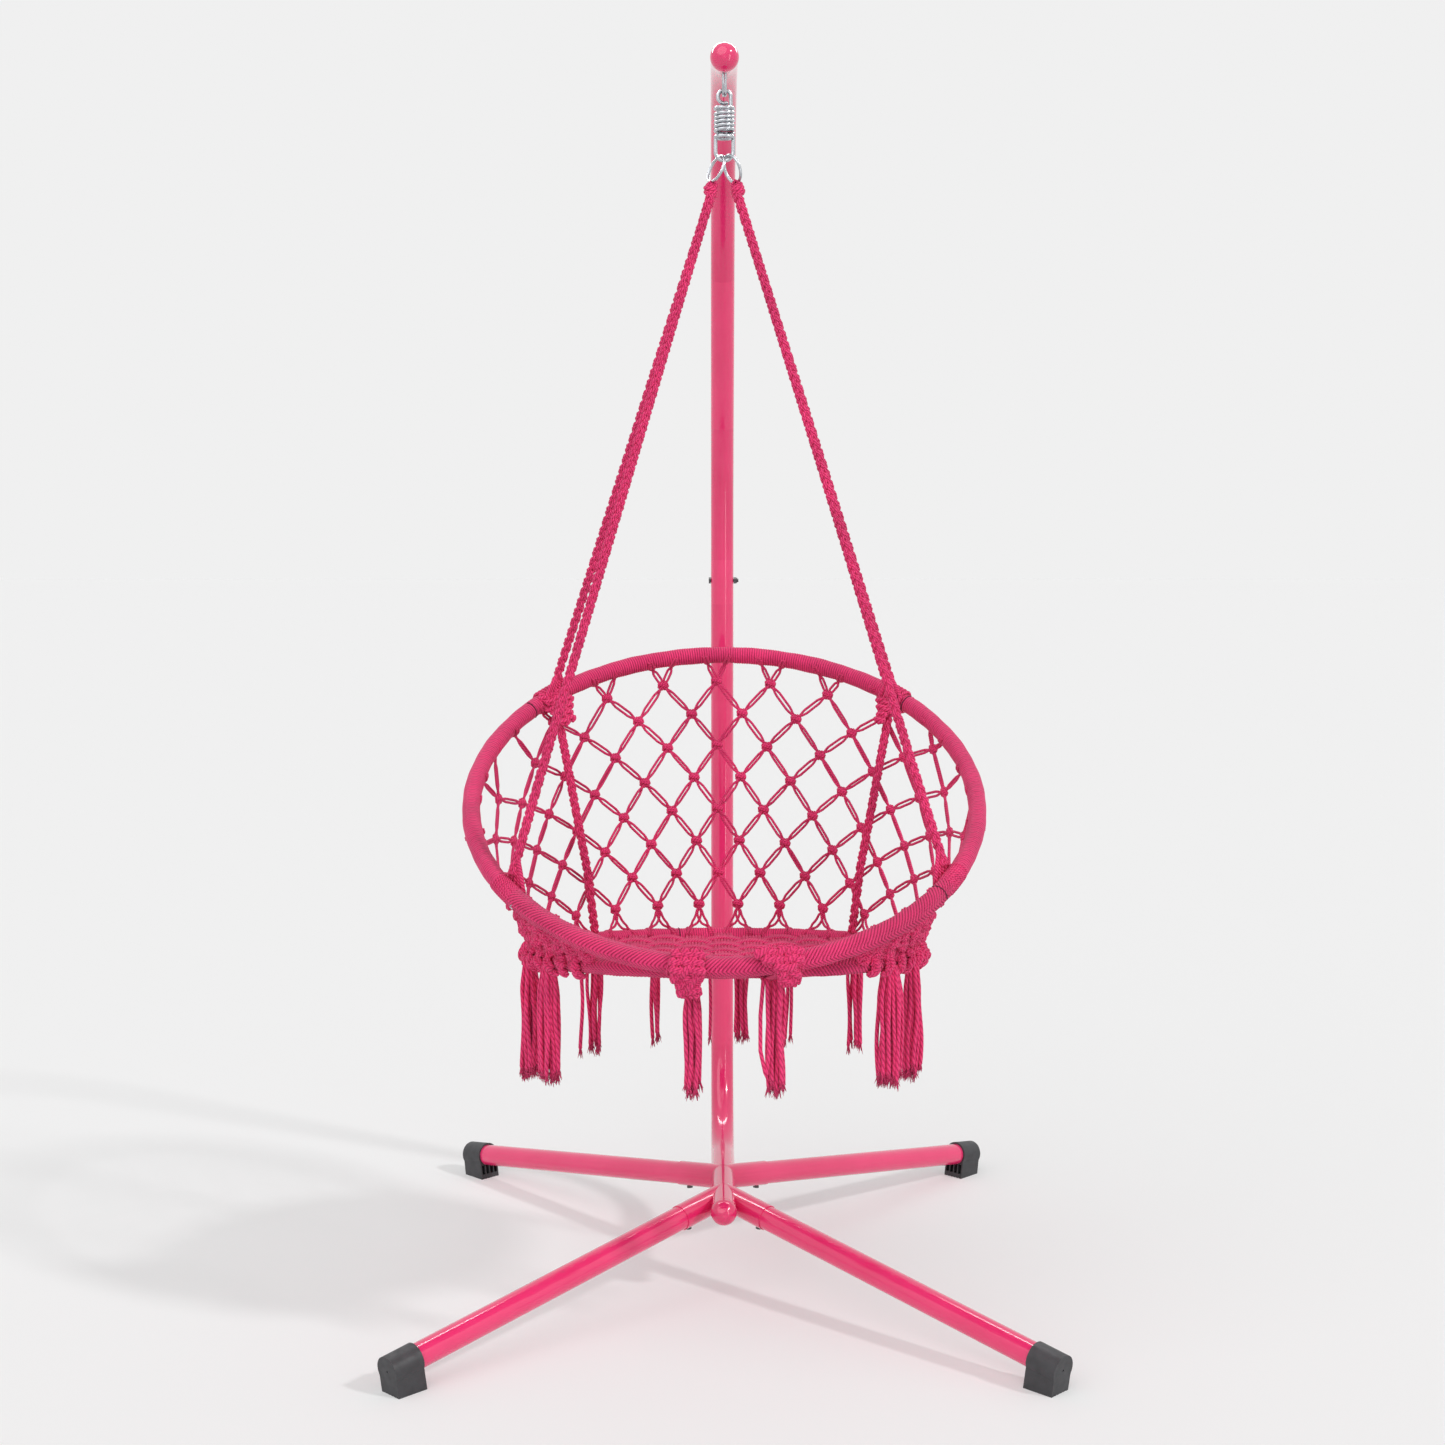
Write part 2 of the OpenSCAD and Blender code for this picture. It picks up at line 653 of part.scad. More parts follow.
upper_mast();
lower_mast();
boom_end_cap();
base_end_cap();
mast_bolt();
mast_nut();
leg(-1, -1);  // leg_front_left
leg(1, -1);  // leg_front_right
leg(-1, 1);  // leg_rear_left
leg(1, 1);  // leg_rear_right
foot(-1, -1);  // foot_front_left
foot(1, -1);  // foot_front_right
foot(-1, 1);  // foot_rear_left
foot(1, 1);  // foot_rear_right
leg_screws();
hanger_eye();
spring_hook();
suspension_spring();
spring_loop();
one_ring(-1);  // ring_left
one_ring(1);  // ring_right
ring_knot(-1);  // ring_knot_left
ring_knot(1);  // ring_knot_right
rope(rope_front_left_pts, false);  // rope_front_left
rope(rope_front_right_pts, false);  // rope_front_right
rope(rope_rear_left_pts, false);  // rope_rear_left
rope(rope_rear_left_pts, true);  // rope_rear_right
rope(braid_left_pts, false);  // braid_left
rope(braid_left_pts, true);  // braid_right
hoop_tube();
hoop_wrap();
hoop_collars();
seat_ring_tube();
seat_ring_wrap();
front_lashings();
side_panels();
back_net();
seat_net();
front_tassels();
rear_tassels();
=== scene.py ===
import json
import math
import random

import bpy
import numpy as np
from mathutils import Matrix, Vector
from mathutils.bvhtree import BVHTree


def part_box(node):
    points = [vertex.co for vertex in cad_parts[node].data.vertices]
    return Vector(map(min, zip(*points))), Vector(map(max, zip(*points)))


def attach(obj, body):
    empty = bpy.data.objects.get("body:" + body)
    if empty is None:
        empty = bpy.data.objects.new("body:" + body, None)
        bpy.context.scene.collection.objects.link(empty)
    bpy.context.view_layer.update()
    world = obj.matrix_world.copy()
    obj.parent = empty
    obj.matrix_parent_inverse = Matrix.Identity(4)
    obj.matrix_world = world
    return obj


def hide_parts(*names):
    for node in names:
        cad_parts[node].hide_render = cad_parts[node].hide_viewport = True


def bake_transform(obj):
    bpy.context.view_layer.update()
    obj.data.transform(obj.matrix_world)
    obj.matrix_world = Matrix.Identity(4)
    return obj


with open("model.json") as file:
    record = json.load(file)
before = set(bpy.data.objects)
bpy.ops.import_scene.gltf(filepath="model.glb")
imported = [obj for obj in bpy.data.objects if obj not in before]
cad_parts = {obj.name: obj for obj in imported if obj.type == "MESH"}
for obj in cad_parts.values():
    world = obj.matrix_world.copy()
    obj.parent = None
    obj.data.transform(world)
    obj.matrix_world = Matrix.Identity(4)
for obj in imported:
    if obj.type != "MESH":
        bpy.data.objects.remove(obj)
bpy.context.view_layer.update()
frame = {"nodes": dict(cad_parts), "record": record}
nodes = frame["nodes"]
rng = random.Random(7)

# ---- sizes shared with the CAD part, in metres, and angles in degrees ----
HANG_Y = -0.224
HOOP_R, HOOP_WRAP, HOOP_TILT = 0.379, 0.014, math.radians(30.8)
HOOP_C = Vector((0, -0.228, 0.818))
SEAT_R, SEAT_WRAP, SEAT_TILT = 0.288, 0.013, math.radians(-6.2)
FRONT_Y = HOOP_C.y - HOOP_R * math.cos(HOOP_TILT) + HOOP_WRAP + SEAT_WRAP + 0.002
SEAT_C = Vector((0, FRONT_Y + SEAT_R * math.cos(SEAT_TILT), 0.615 + SEAT_R * math.sin(SEAT_TILT)))
ROPE_D = 0.014
ROPE_TOP = 1.7049
# the back net: middle angle, step between columns and its growth, columns on each side, rows;
# then the height of the lowest row and the step between rows, as shares of the net's height
NET_MID, NET_COL, NET_SPREAD, NET_SIDE, NET_ROWS = 91.5, 5.9, .175, 12, 8
NET_ROW0, NET_ROW = .112, .1135
# angles on the rings: rope knots on the hoop, the two front lashings and the side panels
REAR_KNOTS = (137, 43)
FRONT_KNOT_LEFT, FRONT_KNOT_RIGHT = 215, 329
LASHINGS = (261, 283)
PANEL_FROM, PANEL_TO, PANEL_HOOP, PANEL_SPREAD = 194, 230, 216, .58
# tassels: angle on the seat ring, distance outside it in mm, width in mm, strands, drop of the top in mm
FRONT_TASSELS = ((198, 13, 30, 16, 0), (211, 7, 34, 20, 0), (261, 0, 26, 13, 16), (284, 0, 28, 12, 0),
                 (323, 6, 38, 22, 0), (336, 10, 26, 14, 0))
REAR_TASSELS = ((143, 0, 8, 1, 0), (136, 0, 26, 6, 0), (113, 0, 20, 4, 0), (95, 0, 10, 1, 0),
                (84, 0, 24, 6, 0), (68, 0, 14, 2, 0), (43, 0, 26, 6, 0))
# routes of the ropes and of the left braid
ROPE_REAR = ((-.020, -.216, ROPE_TOP), (-.066, -.178, 1.570), (-.124, -.130, 1.400), (-.184, -.082, 1.224),
             (-.234, -.042, 1.076), (-.269, -.013, .974))
ROPE_FRONT_LEFT = ((-.020, -.232, ROPE_TOP), (-.074, -.266, 1.520), (-.135, -.304, 1.310),
                   (-.196, -.342, 1.100), (-.257, -.381, .890), (-.302, -.411, .7295))
ROPE_FRONT_RIGHT = ((.020, -.232, ROPE_TOP), (.076, -.263, 1.520), (.140, -.298, 1.310),
                    (.203, -.333, 1.100), (.266, -.368, .890), (.313, -.394, .7395))
BRAID = ((-.266, -.019, .930), (-.250, -.035, .850), (-.235, -.045, .770), (-.218, -.051, .680),
         (-.206, -.046, .577))

# ---- camera and image points ----
LENS, SENSOR = 52.10, 36.0
CAM_POS, CAM_PITCH, CAM_YAW = (-.020, -3.354, 1.203), .0875, .00553
W = H = 1445
L = max(W, H)
POINTS = {
    "top": (727, 44), "bottom": (1049, 1400), "left": (374, 1365), "right": (1070, 1363),
    "hoop_left": (461, 815), "hoop_right": (985, 808), "hoop_back_top": (724, 648), "spring_top": (727, 108),
    "staple": (512, 905), "seam_front": (942, 889), "seam_back_left": (535, 709),
    "seam_back_right": (904, 701), "seam_seat": (680, 935),
}
# the piece that shows each image point, and the edge or the middle of it that does
WHERE = {
    "top": ("boom_end_cap", "top"), "bottom": ("foot_front_right", "bottom"),
    "left": ("foot_front_left", "left"), "right": ("foot_front_right", "right"),
    "hoop_left": ("hoop_winding", "left"), "hoop_right": ("hoop_winding", "right"),
    "hoop_back_top": ("hoop_winding", "top"), "spring_top": ("spring_coil", "top"),
    "staple": ("hoop_staple", "middle"),
    "seam_front": ("winding_seams", "middle"), "seam_back_left": ("winding_seams", "middle"),
    "seam_back_right": ("winding_seams", "middle"), "seam_seat": ("winding_seams", "middle"),
}
cam_data = bpy.data.cameras.new("camera")
cam_data.sensor_fit, cam_data.sensor_width, cam_data.lens = "AUTO", SENSOR, LENS
cam = bpy.data.objects.new("camera", cam_data)
cam.location = CAM_POS
cam.rotation_euler = (math.pi / 2 - CAM_PITCH, 0, -CAM_YAW)
bpy.context.scene.collection.objects.link(cam)
bpy.context.scene.camera = cam
bpy.context.scene.view_settings.view_transform = "Standard"
bpy.context.view_layer.update()


def pixel(point):
    """The image point at which the camera sees a point."""
    q = cam.matrix_world.inverted() @ Vector(point)
    f = LENS / SENSOR * L
    return W / 2 - cam_data.shift_x * L + f * q.x / -q.z, H / 2 + cam_data.shift_y * L - f * q.y / -q.z


def place(name, carrier):
    """Where the ray through an image point meets the carrier, or on a miss comes nearest to it."""
    x, y = POINTS[name]
    ray = Vector((x - W / 2 + cam_data.shift_x * L, H / 2 - y + cam_data.shift_y * L, -L * LENS / SENSOR))
    start, ray = cam.matrix_world.translation, (cam.matrix_world.to_3x3() @ ray).normalized()
    tree = BVHTree.FromPolygons([carrier.matrix_world @ v.co for v in carrier.data.vertices],
                                [tuple(p.vertices) for p in carrier.data.polygons])
    hit, normal, _, _ = tree.ray_cast(start, ray)
    if hit is None:
        # every centimetre of the ray that can be near the chair
        steps = [start + ray * t for t in np.linspace(2.0, 4.6, 261)]
        hit, normal, _, _ = min((tree.find_nearest(q) for q in steps), key=lambda found: found[3])
    return hit, normal


def on_ring(centre, r, tilt, degrees):
    """The point at an angle on a ring that leans about the X axis."""
    a = math.radians(degrees)
    return centre + Vector((r * math.cos(a), r * math.sin(a) * math.cos(tilt),
                            r * math.sin(a) * math.sin(tilt)))


def on_hoop(a, r=HOOP_R):
    return on_ring(HOOP_C, r, HOOP_TILT, a)


def on_seat(b, r=SEAT_R):
    return on_ring(SEAT_C, r, SEAT_TILT, b)


def flip(points):
    """The same route on the other side."""
    return [(-p[0], p[1], p[2]) for p in points]


# ---- mesh building ----
TINY = 1e-12
# a tube's domed end: how far out its two rings lie and how wide they are, as shares of the radius
DOME_NEAR, DOME_NEAR_R = .5, .8
DOME_FAR, DOME_FAR_R = .8, .05


class Build:
    """Collects quads with a UV map and turns them into one mesh object."""

    def __init__(self):
        self.v, self.f, self.uv, self.n = [], [], [], 0

    def grid(self, rings, uv, closed_u=False):
        """Quads between rings, an array (along, around, 3), with uv, an array (along + 1, around + 1, 2)."""
        n, k = rings.shape[:2]
        ii = np.arange(n if closed_u else n - 1)
        i, j = np.meshgrid(ii, np.arange(k), indexing="ij")
        i2, j2 = (i + 1) % n, (j + 1) % k
        quads = np.stack([i * k + j, i * k + j2, i2 * k + j2, i2 * k + j], -1).reshape(-1, 4)
        loops = np.stack([uv[i, j], uv[i, j + 1], uv[i + 1, j + 1], uv[i + 1, j]], -2).reshape(-1, 2)
        self.v.append(rings.reshape(-1, 3))
        self.f.append(quads + self.n)
        self.uv.append(loops)
        self.n += n * k

    def tube(self, points, r, sides=8, closed=False, round_ends=True):
        """A tube along points, of radius r, which is a number or one per point."""
        p = np.array([tuple(q) for q in points], float)
        n = len(p)
        rad = np.full(n, r, float) if np.isscalar(r) else np.array(r, float)
        if round_ends and not closed:
            d0 = (p[1] - p[0]) / (np.linalg.norm(p[1] - p[0]) + TINY)
            d1 = (p[-1] - p[-2]) / (np.linalg.norm(p[-1] - p[-2]) + TINY)
            p = np.vstack([p[0] - d0 * rad[0] * DOME_FAR, p[0] - d0 * rad[0] * DOME_NEAR, p,
                           p[-1] + d1 * rad[-1] * DOME_NEAR, p[-1] + d1 * rad[-1] * DOME_FAR])
            rad = np.concatenate([[rad[0] * DOME_FAR_R, rad[0] * DOME_NEAR_R], rad,
                                  [rad[-1] * DOME_NEAR_R, rad[-1] * DOME_FAR_R]])
            n = len(p)
        t = np.roll(p, -1, 0) - np.roll(p, 1, 0) if closed else np.gradient(p, axis=0)
        t /= np.linalg.norm(t, axis=1)[:, None] + TINY
        a = np.array((1, 0, 0) if abs(t[0][0]) < .8 else (0, 1, 0), float)
        us = np.empty_like(p)
        u = a - t[0] * a.dot(t[0])
        u /= np.linalg.norm(u)
        for i in range(n):
            u = u - t[i] * u.dot(t[i])
            u /= np.linalg.norm(u) + TINY
            us[i] = u
        w = np.cross(t, us)
        if closed:
            # spread the leftover turn of the frame along the loop
            turn = math.atan2(us[0].dot(np.cross(t[0], us[-1])), us[0].dot(us[-1]))
            th = turn * np.arange(n) / n
            cos_th, sin_th = np.cos(th)[:, None], np.sin(th)[:, None]
            us, w = us * cos_th + w * sin_th, w * cos_th - us * sin_th
        k = np.arange(sides) * 2 * np.pi / sides
        outward = np.cos(k)[None, :, None] * us[:, None] + np.sin(k)[None, :, None] * w[:, None]
        rings = p[:, None] + rad[:, None, None] * outward
        step = np.linalg.norm(np.diff(np.vstack([p, p[:1]]), axis=0), axis=1)
        along = np.concatenate([[0], np.cumsum(step)]) / (2 * math.pi * max(rad.max(), 1e-5))
        uv = np.stack(np.meshgrid(along, np.arange(sides + 1) / sides, indexing="ij")[::-1], -1)
        self.grid(rings, uv, closed_u=closed)

    def finish(self, name, material, body="chair", slot="pink_cord", replaces=()):
        """The collected quads as one mesh object."""
        v, f, uv = np.vstack(self.v), np.vstack(self.f), np.vstack(self.uv)
        me = bpy.data.meshes.new(name)
        me.vertices.add(len(v))
        me.vertices.foreach_set("co", v.astype(np.float32).ravel())
        me.loops.add(f.size)
        me.loops.foreach_set("vertex_index", f.astype(np.int32).ravel())
        me.polygons.add(len(f))
        me.polygons.foreach_set("loop_start", np.arange(0, f.size, 4, dtype=np.int32))
        me.update(calc_edges=True)
        me.polygons.foreach_set("use_smooth", np.ones(len(f), bool))
        layer = me.uv_layers.new(name="UVMap")
        layer.data.foreach_set("uv", uv.astype(np.float32).ravel())
        me.validate()
        me.update()
        me.materials.append(material)
        ob = bpy.data.objects.new(name, me)
        bpy.context.scene.collection.objects.link(ob)
        if body:
            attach(ob, body)
        if replaces:
            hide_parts(*replaces)
        return ob


def smooth_path(points, step=0.006):
    """Points about step apart on the straight lines between the given ones."""
    out = []
    for a, b in zip(points[:-1], points[1:]):
        a, b = Vector(a), Vector(b)
        n = max(1, round((b - a).length / step))
        out += [a.lerp(b, i / n) for i in range(n)]
    return out + [Vector(points[-1])]


# ---- materials ----
def new_material(name):
    m = bpy.data.materials.new(name)
    m.use_nodes = True
    return m, m.node_tree.nodes, m.node_tree.links, m.node_tree.nodes["Principled BSDF"]


def add(ns, kind, **values):
    """A new shader node with its settings."""
    node = ns.new(kind)
    for key, value in values.items():
        setattr(node, key, value)
    return node


def maths(ns, links, op, a, b=None):
    """A math node on numbers or outputs."""
    n = add(ns, "ShaderNodeMath", operation=op)
    for i, x in enumerate((a, b)):
        if x is None:
            continue
        if isinstance(x, (int, float)):
            n.inputs[i].default_value = x
        else:
            links.new(x, n.inputs[i])
    return n.outputs[0]


def ramp(ns, links, source, *stops):
    """A colour ramp with stops of a place and a colour."""
    n = add(ns, "ShaderNodeValToRGB")
    e = n.color_ramp.elements
    while len(e) < len(stops):
        e.new(0.5)
    for i, (pos, col) in enumerate(stops):
        e[i].position, e[i].color = pos, (*col, 1)
    links.new(source, n.inputs[0])
    return n.outputs[0]


def noise(ns, links, scale, detail=3, rough=.5):
    co = add(ns, "ShaderNodeTexCoord")
    n = add(ns, "ShaderNodeTexNoise")
    n.inputs["Scale"].default_value = scale
    n.inputs["Detail"].default_value = detail
    n.inputs["Roughness"].default_value = rough
    links.new(co.outputs["Object"], n.inputs["Vector"])
    return n.outputs[0]


def bump(ns, links, bsdf, height, strength, distance, before=None):
    n = add(ns, "ShaderNodeBump")
    n.inputs["Strength"].default_value = strength
    n.inputs["Distance"].default_value = distance
    links.new(height, n.inputs["Height"])
    if before is not None:
        links.new(before, n.inputs["Normal"])
    links.new(n.outputs[0], bsdf.inputs["Normal"])
    return n.outputs[0]


def paint(name, low, high, rough):
    """Glossy paint with a painted highlight: a little lighter along the edges."""
    m, ns, links, bsdf = new_material(name)
    geo = add(ns, "ShaderNodeNewGeometry")
    # painted highlight: sharp convex edges, found by pointiness, mix a quarter of the way to a lighter colour
    edge = ramp(ns, links, geo.outputs["Pointiness"], (.5, (0, 0, 0)), (.56, (1, 1, 1)))
    tone = ramp(ns, links, noise(ns, links, 9), (.35, low), (.65, high))
    mix = add(ns, "ShaderNodeMix", data_type="RGBA")
    links.new(maths(ns, links, "MULTIPLY", edge, .25), mix.inputs["Factor"])
    links.new(tone, mix.inputs["A"])
    mix.inputs["B"].default_value = (*[min(1, c * 1.25 + .03) for c in high], 1)
    links.new(mix.outputs["Result"], bsdf.inputs["Base Color"])
    r = ramp(ns, links, noise(ns, links, 35, 4), (.3, (rough,) * 3), (.75, (rough + .07,) * 3))
    links.new(r, bsdf.inputs["Roughness"])
    bsdf.inputs["Coat Weight"].default_value = .6
    bsdf.inputs["Coat Roughness"].default_value = .04
    bump(ns, links, bsdf, noise(ns, links, 260, 2), .05, .0006)
    return m


def steel(name, low, high, rough):
    m, ns, links, bsdf = new_material(name)
    links.new(ramp(ns, links, noise(ns, links, 120, 4), (.3, low), (.7, high)), bsdf.inputs["Base Color"])
    bsdf.inputs["Metallic"].default_value = 1
    r = ramp(ns, links, noise(ns, links, 400, 3), (.3, (rough,) * 3), (.7, (rough + .12,) * 3))
    links.new(r, bsdf.inputs["Roughness"])
    bump(ns, links, bsdf, noise(ns, links, 900, 2), .08, .0002)
    return m


def plastic(name, low, high):
    m, ns, links, bsdf = new_material(name)
    links.new(ramp(ns, links, noise(ns, links, 60, 5), (.3, low), (.7, high)), bsdf.inputs["Base Color"])
    r = ramp(ns, links, noise(ns, links, 90, 3), (.3, (.42,) * 3), (.7, (.58,) * 3))
    links.new(r, bsdf.inputs["Roughness"])
    bump(ns, links, bsdf, noise(ns, links, 1600, 2), .25, .0002)
    return m


def cord_material(name, low, high, plies=3.0, lay=1.3, groove=.34, depth=.0016):
    """Cotton cord: its plies twist along the UV map, with painted shade down the grooves between them, and
    fuzz and colour variation over them.
    """
    m, ns, links, bsdf = new_material(name)
    uv = add(ns, "ShaderNodeUVMap")
    sep = add(ns, "ShaderNodeSeparateXYZ")
    links.new(uv.outputs[0], sep.inputs[0])
    turn = maths(ns, links, "ADD", maths(ns, links, "MULTIPLY", sep.outputs[0], plies),
                 maths(ns, links, "MULTIPLY", sep.outputs[1], lay * plies))
    strand = maths(ns, links, "PINGPONG", turn, .5)
    height = maths(ns, links, "POWER", maths(ns, links, "MULTIPLY", strand, 2.0), .5)
    fibre = noise(ns, links, 1500, 3, .7)
    # painted shade: down the grooves between the plies the colour falls to groove times low
    painted_groove_shade = ramp(ns, links, height, (0, tuple(c * groove for c in low)), (.6, low), (1, high))
    cloud = ramp(ns, links, noise(ns, links, 14, 3), (.3, (.86,) * 3), (.7, (1.08,) * 3))
    speck = ramp(ns, links, fibre, (.3, (.88,) * 3), (.7, (1.06,) * 3))
    tone = painted_groove_shade
    for factor in (cloud, speck):
        mix = add(ns, "ShaderNodeMix", data_type="RGBA", blend_type="MULTIPLY")
        mix.inputs["Factor"].default_value = 1
        links.new(tone, mix.inputs["A"])
        links.new(factor, mix.inputs["B"])
        tone = mix.outputs["Result"]
    links.new(tone, bsdf.inputs["Base Color"])
    bsdf.inputs["Roughness"].default_value = .85
    bsdf.inputs["Specular IOR Level"].default_value = .25
    bsdf.inputs["Sheen Weight"].default_value = .30
    bsdf.inputs["Sheen Roughness"].default_value = .45
    bsdf.inputs["Sheen Tint"].default_value = (1, .45, .6, 1)
    first = bump(ns, links, bsdf, height, .8, depth)
    bump(ns, links, bsdf, fibre, .45, .0006, first)
    return m


PINK_LOW, PINK_HIGH = (.80, .031, .152), (.94, .062, .226)
pink_paint = paint("pink_paint", (.71, .017, .124), (.78, .025, .150), .13)
black_steel = paint("black_steel", (.02, .02, .022), (.035, .035, .04), .35)
zinc = steel("zinc_steel", (.40, .42, .45), (.60, .62, .65), .20)
black_plastic = plastic("black_plastic", (.028, .028, .031), (.045, .045, .05))
cord = cord_material("pink_cord", PINK_LOW, PINK_HIGH)
rope_cord = cord_material("pink_rope", PINK_LOW, PINK_HIGH, plies=4, lay=1.0)
# painted shade: a near-black pink cord that darkens the crease of each winding seam
painted_seam_shade = cord_material("painted_seam_shade", (.10, .010, .03), (.16, .015, .045), plies=2.0, lay=1.0)
tassel_cord = cord_material("pink_tassel", PINK_LOW, PINK_HIGH, plies=3.0, lay=.62)
# the winding's cord gets deeper painted shade in its grooves
wrap_cord = cord_material("pink_wrap", PINK_LOW, PINK_HIGH, plies=1.0, lay=0.0, groove=.26, depth=.0024)

# each CAD node takes its slot's material; all slots of cord take the same one
SLOT_MATERIALS = {"pink_paint": pink_paint, "black_steel": black_steel, "zinc_steel": zinc,
                  "black_plastic": black_plastic}
for name, ob in nodes.items():
    slot = next(s["material_slot"] for s in frame["record"]["subparts"] if s["node"] == name)
    ob.data.materials.clear()
    ob.data.materials.append(SLOT_MATERIALS.get(slot, cord))

# ---- the spring's coil, between its hook and its loop ----
COIL_R, COIL_WIRE, COIL_TURNS = .01295, .00275, 5  # radius of the coil, radius of its wire, turns
coil_low, coil_high = (corner[2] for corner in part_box("suspension_spring"))
coil_drop = coil_high - coil_low - 2 * COIL_WIRE
spring = Build()
spring.tube([(COIL_R * math.cos(2 * math.pi * COIL_TURNS * t),
              HANG_Y - COIL_R * math.sin(2 * math.pi * COIL_TURNS * t),
              coil_high - COIL_WIRE - coil_drop * t) for t in np.linspace(0, 1, 181)], COIL_WIRE, 12)
spring_coil = spring.finish("spring_coil", zinc, body=None, slot="zinc_steel",
                            replaces=("suspension_spring",))
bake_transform(spring_coil)

# ---- ropes and braids: plaits of three strands ----
STRANDS, PLAIT_PERIOD = 3, .052
PLAIT_SWELL = 1.10  # the plait's width over its cord's
STRAND_R, WEAVE_DEPTH = .27, .19  # shares of the plait's diameter
HALF_APART, HALF_R = .42, .68  # a strand's two thin cords, as shares of the strand's radius


def plait(path, d, phase):
    """Strands weaving over each other along path, inside a round of diameter d."""
    r = d * STRAND_R
    wide, deep = d / 2 - r, d * WEAVE_DEPTH
    p = np.array([tuple(q) for q in path], float)
    t = np.gradient(p, axis=0)
    t /= np.linalg.norm(t, axis=1)[:, None]
    u = np.cross(t, np.array((0, 1, 0.0)))
    u /= np.linalg.norm(u, axis=1)[:, None]
    w = np.cross(t, u)
    s = np.concatenate([[0], np.cumsum(np.linalg.norm(np.diff(p, axis=0), axis=1))])
    b = Build()
    for i in range(STRANDS):
        ph = 2 * np.pi * (s / PLAIT_PERIOD + i / STRANDS + phase)
        line = p + u * (wide * np.sin(ph))[:, None] + w * (deep * np.sin(2 * ph))[:, None]
        # two thin cords side by side make a strand
        for side in (-1, 1):
            apart = side * r * HALF_APART
            off = u * (apart * np.cos(ph * 3))[:, None] + w * (apart * np.sin(ph * 3))[:, None]
            b.tube(line + off, r * HALF_R)
    return b


def rope_piece(name, points, d, phase):
    """A plait that stands for one of the CAD's ropes or braids."""
    path = smooth_path(points, .004)
    ob = plait(path, d * PLAIT_SWELL, phase).finish(name + "_plait", rope_cord, replaces=(name,))


rope_piece("rope_rear_left", ROPE_REAR, ROPE_D, .1)
rope_piece("rope_rear_right", flip(ROPE_REAR), ROPE_D, .1)
rope_piece("rope_front_left", ROPE_FRONT_LEFT, ROPE_D, .37)
rope_piece("rope_front_right", ROPE_FRONT_RIGHT, ROPE_D, .37)
rope_piece("braid_left", BRAID, ROPE_D, .2)
rope_piece("braid_right", flip(BRAID), ROPE_D, .2)


# ---- cord windings on the hoop and the seat ring ----
PITCH, STITCH = .0040, .0056  # length along the ring of a turn of the coil and of a V stitch
SINK, COIL_RISE, STITCH_RISE = .0018, .0015, .0024  # the cord lies this deep in the winding and rises by this
CREASE, VEE_POINT, VEE_WIDTH = .0012, 1.1 * np.pi, .16  # the groove down the middle of the V stitches
MIRROR_SUM = 540  # an angle on a ring and its mirror image on the other side add up to this


def winding(name, centre, r, wrap, tilt, stitched, replaces):
    """A cord coiled round a ring, and a row of V stitches between the two angles of stitched."""
    along, around = round(2 * math.pi * r / .0011), 24
    a = np.arange(along) * 2 * np.pi / along
    k = np.arange(around) * 2 * np.pi / around
    A, K = np.meshgrid(a, k, indexing="ij")

    def is_stitch(along_angle):
        return (np.degrees(along_angle) > stitched[0]) & (np.degrees(along_angle) < stitched[1])

    def from_point(around_angle):
        return np.abs((around_angle - VEE_POINT + np.pi) % (2 * np.pi) - np.pi)

    def phase(along_angle, around_angle):
        stitches = along_angle * r / STITCH + from_point(around_angle) * wrap / STITCH * .9
        turns = along_angle * r / PITCH + around_angle / (2 * np.pi)
        return np.where(is_stitch(along_angle), stitches, turns)

    ph = phase(A, K)
    crease = np.where(is_stitch(A), np.exp(-(from_point(K) / VEE_WIDTH) ** 2), 0)
    lift = np.abs(np.sin(np.pi * ph)) ** .6
    wobble = np.sin(A * 23) * .0003 + np.sin(A * 61 + K) * .0002
    rad = wrap - SINK + wobble + np.where(is_stitch(A), STITCH_RISE, COIL_RISE) * lift - CREASE * crease
    x = (r + rad * np.cos(K)) * np.cos(A)
    y = (r + rad * np.cos(K)) * np.sin(A)
    z = rad * np.sin(K)
    ct, st = math.cos(tilt), math.sin(tilt)
    rings = np.stack([x, y * ct - z * st + centre.y, y * st + z * ct + centre.z], -1)
    UA, VA = np.meshgrid(np.arange(along + 1) * 2 * np.pi / along,
                         np.arange(around + 1) * 2 * np.pi / around, indexing="ij")
    uv = np.stack([phase(UA, VA), VA * wrap / PITCH], -1)
    b = Build()
    b.grid(rings, uv, closed_u=True)
    return b.finish(name, wrap_cord, replaces=replaces)


hoop_winding = winding("hoop_winding", HOOP_C, HOOP_R, HOOP_WRAP, HOOP_TILT,
                       (FRONT_KNOT_LEFT, FRONT_KNOT_RIGHT), ("hoop_wrap",))
seat_winding = winding("seat_ring_winding", SEAT_C, SEAT_R, SEAT_WRAP, SEAT_TILT,
                       (PANEL_FROM, MIRROR_SUM - PANEL_FROM), ("seat_ring_wrap",))


# ---- seams where a winding starts and ends, and a staple ----
def ring_angle(point, centre, tilt):
    """The angle on a ring, in degrees, that lies nearest a point."""
    d = point - centre
    return math.degrees(math.atan2(d.y * math.cos(tilt) + d.z * math.sin(tilt), d.x))


def seam(b, name, carrier, centre, r, tilt, wrap):
    """A dark line of painted shade across the near side of a ring, at its image point."""
    hit, _ = place(name, carrier)
    a = ring_angle(hit, centre, tilt)
    c = on_ring(centre, r, tilt, a)
    tangent = (on_ring(centre, r, tilt, a + 1) - c).normalized()
    u = hit - c
    u = (u - tangent * u.dot(tangent)).normalized()
    w = tangent.cross(u)
    line = [c + (u * math.cos(t) + w * math.sin(t)) * wrap for t in np.linspace(-1.3, 1.3, 25)]
    b.tube(line, .0009, 6)


